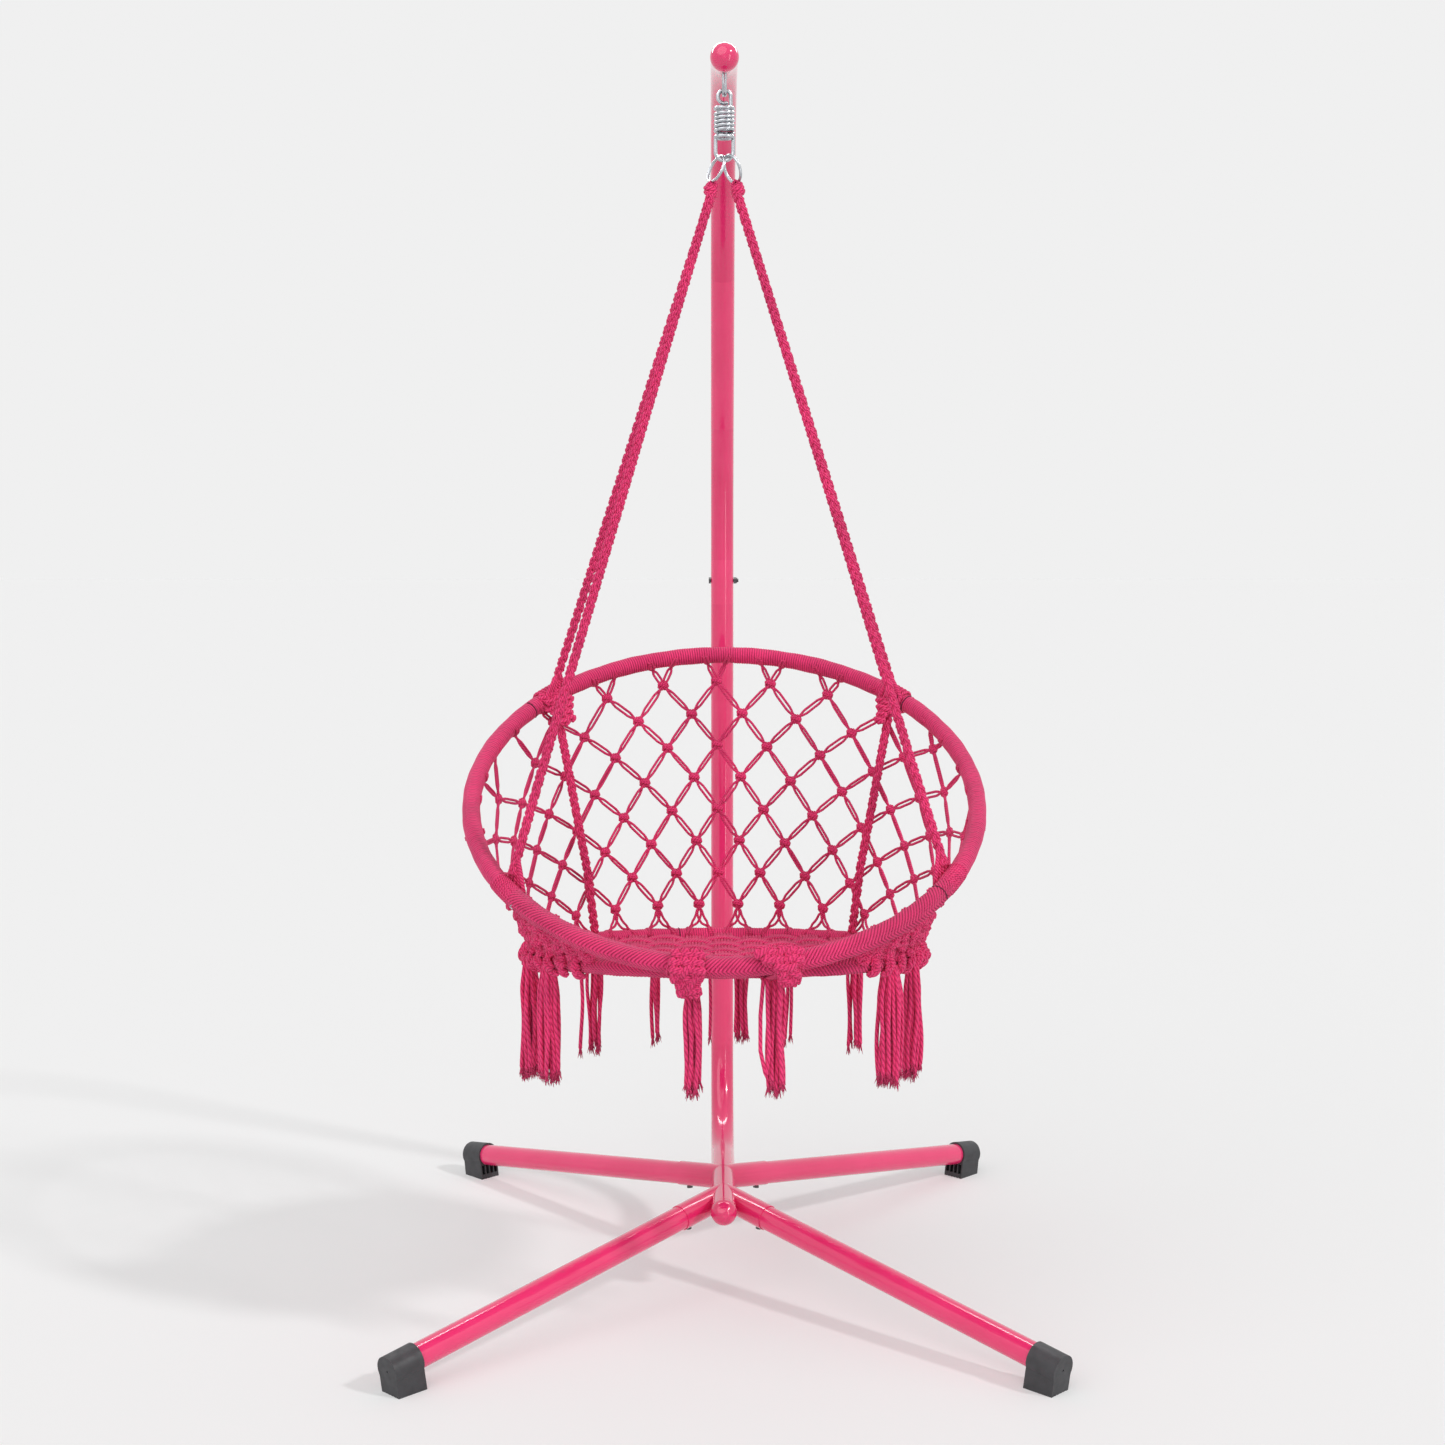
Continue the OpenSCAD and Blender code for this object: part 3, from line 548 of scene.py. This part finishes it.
seams = Build()
for name in ("seam_front", "seam_back_left", "seam_back_right"):
    seam(seams, name, hoop_winding, HOOP_C, HOOP_R, HOOP_TILT, HOOP_WRAP)
seam(seams, "seam_seat", seat_winding, SEAT_C, SEAT_R, SEAT_TILT, SEAT_WRAP)
seams.finish("winding_seams", painted_seam_shade)

staple_at, staple_normal = place("staple", hoop_winding)
staple_along = staple_normal.cross(Vector((0, 0, 1))).normalized()
staple_up = staple_along.cross(staple_normal)
staple = Build()
staple.tube([staple_at + staple_normal * .0008 + staple_along * (.0036 * math.sin(math.pi * 2 * t))
             + staple_up * (.006 * (1 - 2 * t)) for t in np.linspace(0, 1, 17)], .0009, 8)
staple.finish("hoop_staple", zinc, slot="zinc_steel")


# ---- knots ----
def square_knot(b, c, right, up, out, size, r):
    """A square knot: two carriers held by a bar in front, a bar behind and a loop on each side."""
    h = size / 2
    for k, face in ((.36, 1), (-.30, -1), (-.02, 1)):
        line = []
        for i in range(9):
            s = -1 + i / 4
            tilt = .22 * h * s * face
            line.append(c + right * (s * h) + up * (k * h * (1 - .6 * abs(s)) + tilt)
                        + out * (face * r * 1.25 * math.cos(s * 1.35)))
        b.tube(line, r, 7)
    for s in (-1, 1):
        b.tube([c + right * (s * h * (.55 + .38 * math.sin(math.pi * i / 6)))
                + up * (h * .62 * math.cos(math.pi * i / 6))
                + out * (r * .5 * math.sin(math.pi * i / 3)) for i in range(7)], r, 7)
        b.tube([c + up * (h * .9) + right * (s * r * .9), c + out * (r * .4) + right * (s * r * .5),
                c - up * (h * .9) + right * (s * r * .9)], r * .9, 7)


# ---- back net: columns m run from the seat ring to the hoop, rows n lie across them ----
NET_CORD_R, NET_KNOT, NET_KNOT_R = .0021, .0150, .0024
CLEAR_OF_HOOP, CLEAR_OF_SEAT = .032, .025
HITCH_SINK, HITCH_REACH = .0006, 1.35
FORWARD_REACH = 3.2  # columns by which the edge cords run forward
LOW_GAP, LOW_BOW = .0075, .0060  # the wider loops that end on the seat ring


def net_b(m):
    """A column's angle on the seat ring."""
    return NET_MID + math.copysign(NET_COL * abs(m) + NET_SPREAD * m * m, m)


def net_angle(m):
    """A column's angle on the hoop."""
    return 90 + (net_b(m) - 90) / .9


def net_t(n):
    """A row's place on its column, as a share of the column's length."""
    return NET_ROW0 + NET_ROW * n


def net_line(m):
    """A column's ends on the two rings, and its length."""
    s, h = on_seat(net_b(m)), on_hoop(net_angle(m))
    return s, h, (h - s).length


def has_knot(m, n):
    """True where the net has a knot that keeps clear of both rings."""
    if abs(m) > NET_SIDE or not 0 <= n < NET_ROWS:
        return False
    length = net_line(m)[2]
    return (1 - net_t(n)) * length > CLEAR_OF_HOOP and net_t(n) * length > CLEAR_OF_SEAT


def knot_at(m, n):
    """The middle of a knot of the net."""
    s, h, _ = net_line(m)
    return s.lerp(h, net_t(n))


def double_cord(b, p, q, gap=.0058, r=NET_CORD_R, bow=0.0):
    """Two thin cords side by side that close up at both ends, bent sideways by bow."""
    steps = 14
    d = (q - p).normalized()
    out = Vector((p.x + q.x, p.y + q.y - 2 * SEAT_C.y, 0))
    out = (out - d * out.dot(d)).normalized()
    across = d.cross(out)
    half = gap / 2 * (.75 + .45 * rng.random())
    twist = rng.choice((-1, 1))
    for s in (-1, 1):
        line = []
        for i in range(steps):
            t = i / (steps - 1)
            from_end = min(t, 1 - t)
            open_ = .38 + .62 * max(0, min(1, (from_end - .16) / .12))
            turn = twist * max(0, .26 - from_end) * 6
            off = across * math.cos(turn) + out * math.sin(turn)
            line.append(p.lerp(q, t) + off * (s * open_ * half) + across * (bow * math.sin(math.pi * t)))
        b.tube(line, r, 7)


def hitch(b, centre, tangent, toward, wrap):
    """Two turns of cord round a ring where a net cord ends on it."""
    r = NET_CORD_R
    side_v = toward.cross(tangent).normalized()
    for off in (-1.15 * r, 1.15 * r):
        b.tube([centre + tangent * off
                + (-toward * math.cos(w) + side_v * math.sin(w)) * (wrap - HITCH_SINK + .7 * r)
                for w in np.linspace(-HITCH_REACH, HITCH_REACH, 20)], r, 7)


net = Build()
for m in range(-NET_SIDE, NET_SIDE + 1):
    s, h, _ = net_line(m)
    up = (h - s).normalized()
    out = Vector((math.cos(math.radians(net_b(m))), math.sin(math.radians(net_b(m))), 0))
    out = (out - up * out.dot(up)).normalized()
    for n in range(NET_ROWS):
        if (m + n) % 2 == 0 or not has_knot(m, n):
            continue
        p = knot_at(m, n)
        square_knot(net, p, up.cross(out), up, -out, NET_KNOT, NET_KNOT_R)
        for side in (-1, 1):
            if has_knot(m + side, n + 1):
                double_cord(net, p, knot_at(m + side, n + 1))
            else:
                # a cord past the net's last column runs forward to the hoop
                past = abs(m + side) > NET_SIDE
                left = 1 - net_t(n)
                reach = 1 + FORWARD_REACH * left if past else .6 * min(1, left / NET_ROW)
                a = net_angle(m + side * reach)
                c = on_hoop(a)
                toward = (c - p).normalized()
                double_cord(net, p, c - toward * HOOP_WRAP)
                hitch(net, c, (on_hoop(a + 1) - c).normalized(), toward, HOOP_WRAP)
            if abs(m + side) <= NET_SIDE and not has_knot(m + side, n - 1):
                bb = net_b(m + side * (.72 if n == 0 else .5 * min(1, net_t(n) / NET_ROW)))
                c = on_seat(bb)
                toward = (c - p).normalized()
                bow = LOW_BOW * side if n == 0 else 0
                double_cord(net, p, c - toward * SEAT_WRAP, gap=LOW_GAP, bow=bow)
                hitch(net, c, (on_seat(bb + 1) - c).normalized(), toward, SEAT_WRAP)
net.finish("net_of_knots", cord, replaces=("back_net",))

# ---- seat: woven bands of cords ----
BAND_GAP, BAND_W, CORDS_IN_BAND = .046, .030, 6
BAND_RISE, SEAT_SAG = .0032, .006  # how far the bands weave up and down, and how far the seat sags
SEAT_CORD_R = .0026
seat = Build()
seat_in = SEAT_R - SEAT_WRAP - .0003
ct, st = math.cos(SEAT_TILT), math.sin(SEAT_TILT)
for turn in (0, 1):
    for k in range(-6, 7):
        for c in range(CORDS_IN_BAND):
            off = k * BAND_GAP + (c - (CORDS_IN_BAND - 1) / 2) * BAND_W / CORDS_IN_BAND
            if abs(off) > seat_in - .012:
                continue
            reach = math.sqrt(seat_in ** 2 - off ** 2)
            line = []
            for i in range(49):
                s = -reach + 2 * reach * i / 48
                z = (BAND_RISE * math.cos(math.pi * (s / BAND_GAP + k + turn))
                     - SEAT_SAG * (1 - (s / reach) ** 2) * (1 - (off / seat_in) ** 2))
                x, y = (s, off) if turn else (off, s)
                line.append((x, y * ct - z * st + SEAT_C.y, y * st + z * ct + SEAT_C.z))
            seat.tube(line, SEAT_CORD_R, 6, round_ends=False)
seat.finish("woven_seat", cord, replaces=("seat_net",))


# ---- knot collars on the hoop, lashings, side panels ----
COLLAR_SPAN = 3.2  # degrees of the hoop that a collar covers on each side of its knot
KNOT_ACROSS = .86  # distance between the knots of a row, as a share of a knot


def coil(b, a0, a1, r_at, turns, r):
    """A cord coiled round the hoop between two angles."""
    steps = 16
    line = []
    n = turns * steps
    for i in range(n + 1):
        a = a0 + (a1 - a0) * i / n
        c = on_hoop(a)
        t = (on_hoop(a + .5) - on_hoop(a - .5)).normalized()
        u = t.cross(Vector((0, 0, 1))).normalized()
        w = t.cross(u)
        th = 2 * math.pi * i / steps
        line.append(c + (u * math.cos(th) + w * math.sin(th)) * r_at)
    b.tube(line, r)


def mat(b, top, down, across, rows):
    """A small triangle of square knots that hangs from top."""
    knot, r = .0150, .0031
    out = down.cross(across).normalized()
    for row, count in enumerate(rows):
        for i in range(count):
            p = top + down * (row * knot * .72) + across * ((i - (count - 1) / 2) * knot * KNOT_ACROSS)
            up = (-down + across * rng.uniform(-.3, .3)).normalized()
            square_knot(b, p, up.cross(out), up, out, knot, r)


def rope_fan(b, rope, a, around):
    """The strands of a rope that part above its knot and go round the hoop side by side."""
    spread, r = 3.0, .0030
    end, above = Vector(rope[-1]), Vector(rope[-2])
    start = end.lerp(above, .13)
    for i in range(5):
        k = (i - 2) / 2
        c = on_hoop(a + k * spread)
        tangent = (on_hoop(a + k * spread + 1) - c).normalized()
        toward = start - c
        toward = (toward - tangent * toward.dot(tangent)).normalized()
        side_v = toward.cross(tangent).normalized()
        foot = [c + (toward * math.cos(w) + side_v * math.sin(w)) * (HOOP_WRAP + r)
                for w in np.linspace(.5, around, 16)]
        b.tube([start + tangent * (k * .004), start.lerp(foot[0], .5) + tangent * (k * .003), *foot], r)


collars = Build()
# each fan's angle on the hoop, its rope, and 1 for the rear left, -1 for the rear right or 0 for a front one
fans = ((REAR_KNOTS[0], ROPE_REAR, 1), (REAR_KNOTS[1], flip(ROPE_REAR), -1),
        (FRONT_KNOT_LEFT, ROPE_FRONT_LEFT, 0), (FRONT_KNOT_RIGHT, ROPE_FRONT_RIGHT, 0))
for a, rope, rear_side in fans:
    if rear_side:
        coil(collars, a - COLLAR_SPAN, a + COLLAR_SPAN, HOOP_WRAP + .0022, 6, .0027)
    else:
        coil(collars, a - COLLAR_SPAN, a + COLLAR_SPAN, HOOP_WRAP - .0010, 9, .0022)
    rope_fan(collars, rope, a, around=4.6 if rear_side else 2.4)
    if rear_side:
        tangent = (on_hoop(a + 1) - on_hoop(a - 1)).normalized()
        foot = Vector(BRAID[0] if rear_side > 0 else flip(BRAID)[0])
        inner = on_hoop(a, HOOP_R - HOOP_WRAP - .006) - Vector((0, 0, .002))
        down = (foot - on_hoop(a)).normalized()
        mat(collars, inner, down, tangent, (4, 3, 2, 2) if rear_side > 0 else (3, 2, 1, 1))
        if rear_side > 0:
            mat(collars, on_hoop(a) + Vector((0, -HOOP_WRAP, HOOP_WRAP * .4)), down, tangent, (3, 2))
collars.finish("hoop_knots", cord, replaces=("hoop_collars",))


def wrap_turn(b, a):
    """One turn of cord round the hoop and the seat ring together, at the ring angle a."""
    r, lift = .0021, .0012
    h, s = on_hoop(a), on_seat(a)
    axis = (on_hoop(a + 1) - on_hoop(a - 1)).normalized()
    d = s - h
    d = (d - axis * d.dot(axis)).normalized()
    n_v = axis.cross(d)
    line = []
    for th in np.linspace(0, 2 * math.pi, 29):
        near_seat = math.cos(th) > 0
        c, rr = (s, SEAT_WRAP + lift) if near_seat else (h, HOOP_WRAP + lift)
        line.append(c + (d * math.cos(th) + n_v * math.sin(th)) * rr + axis * (.003 * math.sin(th)))
    b.tube(line, r)


def front_mat(b, a, rows, knot, r, lean=0.0, shift=0.0):
    """Square knots in front of the two rings under a lashing, row by row."""
    knot_drop = .62  # distance between the rows, as a share of a knot
    front = on_hoop(a, HOOP_R + (HOOP_WRAP + .004) / math.cos(HOOP_TILT)) + Vector((0, 0, .026))
    right = (on_seat(a + 1) - on_seat(a - 1)).normalized()
    out = Vector((math.cos(math.radians(a)), math.sin(math.radians(a)), 0))
    for row, count in enumerate(rows):
        for i in range(count):
            across = ((i - (count - 1) / 2) * knot * KNOT_ACROSS + lean * row + shift
                      + rng.uniform(-.0018, .0018))
            back = .0045 * max(0, row - 2, 1.6 - row)
            p = front + right * across - Vector((0, 0, row * knot * knot_drop)) - out * back
            up = (Vector((0, 0, 1)) + right * rng.uniform(-.8, .8)).normalized()
            square_knot(b, p, up.cross(out), up, out, knot * rng.uniform(.9, 1.15), r)


DEGREES_PER_RADIAN = 57.3
lash = Build()
# each lashing's angle, half its width in mm along the hoop, and its turns
for a, spread, turns in ((LASHINGS[0], 15, 8), (LASHINGS[1], 18, 10)):
    for i in range(turns):
        off = -spread + 2 * spread * i / (turns - 1)
        wrap_turn(lash, a + off / (HOOP_R * 1000) * DEGREES_PER_RADIAN)
front_mat(lash, LASHINGS[0], (3, 3, 3, 3, 2, 2), .0165, .0034, shift=.009)
front_mat(lash, LASHINGS[1], (5, 4, 2, 2, 2), .0155, .0033, lean=.004, shift=-.016)
lash.finish("front_lashing_cords", cord, replaces=("front_lashings",))

PANEL_KNOT, PANEL_KNOT_R, PANEL_GAP, PANEL_CORD_R = .021, .0036, .0066, .0030
COVER_KNOT, COVER_KNOT_R = .0175, .0032
panels = Build()
for mirror_x in (1, -1):
    cols, rows = 7, 4
    grid = {}
    for i in range(cols):
        b_angle = PANEL_FROM + (PANEL_TO - PANEL_FROM) * i / (cols - 1)
        s, h = on_seat(b_angle), on_hoop(PANEL_HOOP + (b_angle - PANEL_FROM) * PANEL_SPREAD)
        length = (h - s).length
        d = (h - s).normalized()
        for j in range(rows):
            t = (SEAT_WRAP + .006) + (length - SEAT_WRAP - HOOP_WRAP - .012) * j / (rows - 1)
            p = s + d * t + Vector([rng.uniform(-.0025, .0025) for _ in range(3)])
            grid[i, j] = Vector((p.x * mirror_x, p.y, p.z))
    for (i, j), p in grid.items():
        out = Vector((p.x, p.y - SEAT_C.y, 0)).normalized()
        up = Vector((rng.uniform(-.4, .4), rng.uniform(-.4, .4), 1)).normalized()
        right = up.cross(out).normalized()
        square_knot(panels, p, right, up, right.cross(up), PANEL_KNOT, PANEL_KNOT_R)
        for di, dj in ((1, 0), (0, 1), (1, 1)):
            if (i + di, j + dj) in grid:
                double_cord(panels, p, grid[i + di, j + dj], gap=PANEL_GAP, r=PANEL_CORD_R)
    # knots that cover the seat ring itself, under the panel
    for i in range(7):
        b_angle = 190 + 6 * i
        s = on_seat(b_angle)
        out = Vector((math.cos(math.radians(b_angle)), math.sin(math.radians(b_angle)), 0))
        for lift in (-50, 0, 50):
            k = math.radians(lift + rng.uniform(-10, 10))
            normal = out * math.cos(k) + Vector((0, 0, math.sin(k)))
            p = s + normal * (SEAT_WRAP + .0035)
            p, normal = Vector((p.x * mirror_x, p.y, p.z)), Vector((normal.x * mirror_x, normal.y, normal.z))
            any_way = Vector((rng.uniform(-1, 1), rng.uniform(-1, 1), rng.uniform(-1, 1)))
            up = any_way.cross(normal).normalized()
            square_knot(panels, p, up.cross(normal), up, normal, COVER_KNOT, COVER_KNOT_R)
panels.finish("side_panel_knots", cord, replaces=("side_panels",))

# ---- rope knots under the two steel rings ----
RING_KNOT = Vector((.0201, HANG_Y, 1.7151))
RING_KNOT_RADII = (.0066, .0078, .0080, .0066, .0046)  # of its turns of cord, from below
RING_CORD_R, BIGHT_R = .0030, .0026
rings = Build()
for s in (-1, 1):
    c = Vector((s * RING_KNOT.x, RING_KNOT.y, RING_KNOT.z))
    for i, rad in enumerate(RING_KNOT_RADII):
        z = -.008 + .0038 * i
        lean = rng.uniform(-.35, .35)
        rings.tube([c + Vector((rad * math.cos(t), rad * math.sin(t), z + .0024 * math.sin(t + lean * 4)))
                    for t in np.linspace(0, 2 * math.pi, 17)[:-1]], RING_CORD_R, closed=True)
    # the two bights that pass through the steel ring
    for y in (-.004, .004):
        rings.tube([c + Vector((s * .0035, y, .002)), c + Vector((s * .0006, y * 1.1, .0095)),
                    c + Vector((-s * .0045, y * .6, .0125)), c + Vector((-s * .0085, y, .0060)),
                    c + Vector((-s * .0060, y, -.002))], BIGHT_R)
rings.finish("ring_knot_cords", cord, replaces=("ring_knot_left", "ring_knot_right"))


# ---- tassels ----
FULL_TURN = 6.28  # radians
TASSEL_R = .0030  # radius of a tassel's strand
FRONT_LENGTH, REAR_LENGTH = .180, .185


def frayed_tip(b, tip, r):
    """A tuft of loose fibres at the end of a strand."""
    for _ in range(11):
        a, spread, drop = rng.uniform(0, FULL_TURN), rng.uniform(.0015, .0062), rng.uniform(.009, .018)
        side = Vector((math.cos(a), math.sin(a), 0))
        b.tube([tip + Vector((0, 0, .008)), tip + side * (spread * .35) - Vector((0, 0, drop * .3)),
                tip + side * spread - Vector((0, 0, drop))], [r * .5, r * .34, .0002], 4, round_ends=False)


def tassel(b, item, length):
    """A bundle of strands that reaches to about length under the seat ring's centre line."""
    r = TASSEL_R
    angle, out_mm, width, count, drop = item
    top = on_seat(angle, SEAT_R + out_mm / 1000) - Vector((0, 0, SEAT_WRAP + drop / 1000))
    radius = width / 2000
    length -= SEAT_WRAP
    for c in range(count):
        th = 2.4 * c
        rr = radius * .92 * math.sqrt((c + .5) / count)
        dx, dy = rr * math.cos(th), rr * math.sin(th)
        end = length * rng.uniform(.84, .94) - drop / 1000
        wob, sway = rng.uniform(0, FULL_TURN), rng.uniform(.0006, .0030)
        line = []
        for i in range(19):
            t = i / 18
            gather = .55 + .45 * min(1, t * 4)
            w = sway * math.sin(wob + t * 5.5) * min(1, t * 2)
            line.append(top + Vector((dx * gather + w, dy * gather + w * .5, .006 - (end + .006) * t)))
        b.tube(line, r * rng.uniform(.92, 1.06))
        frayed_tip(b, line[-1], r)


for name, items, length in (("front", FRONT_TASSELS, FRONT_LENGTH), ("rear", REAR_TASSELS, REAR_LENGTH)):
    tufts = Build()
    if name == "front":
        # one long cord loops down beside the right lashing's tassel
        top = on_seat(LASHINGS[1], SEAT_R + SEAT_WRAP + .004) - Vector((0, 0, SEAT_WRAP))
        loop = ((-.017, 0), (-.021, -.050), (-.021, -.100), (-.013, -.137),
                (-.009, -.100), (-.011, -.050), (-.012, 0))
        tufts.tube(smooth_path([top + Vector((x, 0, z)) for x, z in loop]), .0028)
    for item in items:
        tassel(tufts, item, length)
    tufts.finish(name + "_tassel_cords", tassel_cord, replaces=(name + "_tassels",))

# ---- stage and light ----
# The floor's albedo, the world's level and the two suns add up to BACKGROUND on an unshaded floor.
# Rays from the camera and from a gloss see BACKGROUND in the world, and SHADOW_SHARE of the floor's shading.
BACKGROUND, AMBIENT, FLOOR_ALBEDO = .871, .50, .88
SHADOW_SHARE = .72
FLOOR_HALF = 60

corners = [(x * FLOOR_HALF, y * FLOOR_HALF, 0) for x, y in ((-1, -1), (1, -1), (1, 1), (-1, 1))]
floor_mesh = bpy.data.meshes.new("floor")
floor_mesh.from_pydata(corners, [], [(0, 1, 2, 3)])
floor = bpy.data.objects.new("floor", floor_mesh)
bpy.context.scene.collection.objects.link(floor)
m, ns, links, bsdf = new_material("floor")
bsdf.inputs["Base Color"].default_value = (FLOOR_ALBEDO, FLOOR_ALBEDO, FLOOR_ALBEDO, 1)
bsdf.inputs["Roughness"].default_value = 1
bsdf.inputs["Specular IOR Level"].default_value = 0
glow = add(ns, "ShaderNodeEmission")
glow.inputs["Color"].default_value = (BACKGROUND, BACKGROUND, BACKGROUND, 1)
mixer = add(ns, "ShaderNodeMixShader")
seen_by = add(ns, "ShaderNodeLightPath")
direct = maths(ns, links, "MAXIMUM", seen_by.outputs["Is Camera Ray"], seen_by.outputs["Is Glossy Ray"])
links.new(maths(ns, links, "MULTIPLY", direct, 1 - SHADOW_SHARE), mixer.inputs[0])
links.new(bsdf.outputs[0], mixer.inputs[1])
links.new(glow.outputs[0], mixer.inputs[2])
links.new(mixer.outputs[0], ns["Material Output"].inputs["Surface"])
floor.data.materials.append(m)

world = bpy.data.worlds.new("studio")
bpy.context.scene.world = world
world.use_nodes = True
wn, wl = world.node_tree.nodes, world.node_tree.links
back = wn["Background"]
back.inputs[0].default_value = (1, 1, 1, 1)
seen_by = add(wn, "ShaderNodeLightPath")
direct = maths(wn, wl, "MAXIMUM", seen_by.outputs["Is Camera Ray"], seen_by.outputs["Is Glossy Ray"])
extra = maths(wn, wl, "MULTIPLY", direct, BACKGROUND - AMBIENT)
wl.new(maths(wn, wl, "ADD", extra, AMBIENT), back.inputs[1])


def sun(name, azimuth, elevation, strength, spread):
    """Azimuth 0 shines from the camera's side, 90 from the right."""
    d = bpy.data.lights.new(name, "SUN")
    d.energy, d.angle = strength, math.radians(spread)
    ob = bpy.data.objects.new(name, d)
    ob.rotation_euler = (math.radians(90 - elevation), 0, math.radians(azimuth))
    bpy.context.scene.collection.objects.link(ob)


sun("front_softbox", -28, 42, 1.30, 70)
sun("right_key", 60, 38, 1.09, 5)


def strip(name, at, size, power, toward):
    """A strip softbox that shows in glosses only, not on matt surfaces and not to the camera."""
    d = bpy.data.lights.new(name, "AREA")
    d.shape, d.size, d.size_y, d.energy = "RECTANGLE", size[0], size[1], power
    ob = bpy.data.objects.new(name, d)
    ob.location = at
    ob.rotation_euler = (Vector(toward) - Vector(at)).to_track_quat("-Z", "Y").to_euler()
    ob.visible_diffuse = ob.visible_camera = False
    bpy.context.scene.collection.objects.link(ob)


strip("overhead_strip", (0, 1.1, 3.0), (4.2, .26), 42, (0, -.3, .1))
strip("side_strip", (1.9, -2.4, 1.1), (.22, 2.6), 9, (0, 0, 1.0))

# ---- how far the model shows from the photograph's image points ----
NEAR_PIXELS = 40


def shows(name):
    """The image point of a piece: an edge by its outermost vertex, a placed piece by its middle."""
    piece, edge = WHERE[name]
    ob = bpy.data.objects.get(piece) or nodes.get(piece)
    px = np.array([pixel(ob.matrix_world @ v.co) for v in ob.data.vertices])
    if edge == "middle":
        x, y = POINTS[name]
        near = px[np.hypot(px[:, 0] - x, px[:, 1] - y) < NEAR_PIXELS]
        return near.mean(0)
    pick = {"top": px[:, 1].argmin(), "bottom": px[:, 1].argmax(),
            "left": px[:, 0].argmin(), "right": px[:, 0].argmax()}
    return px[pick[edge]]


bpy.context.view_layer.update()
for name, (x, y) in POINTS.items():
    at = shows(name)
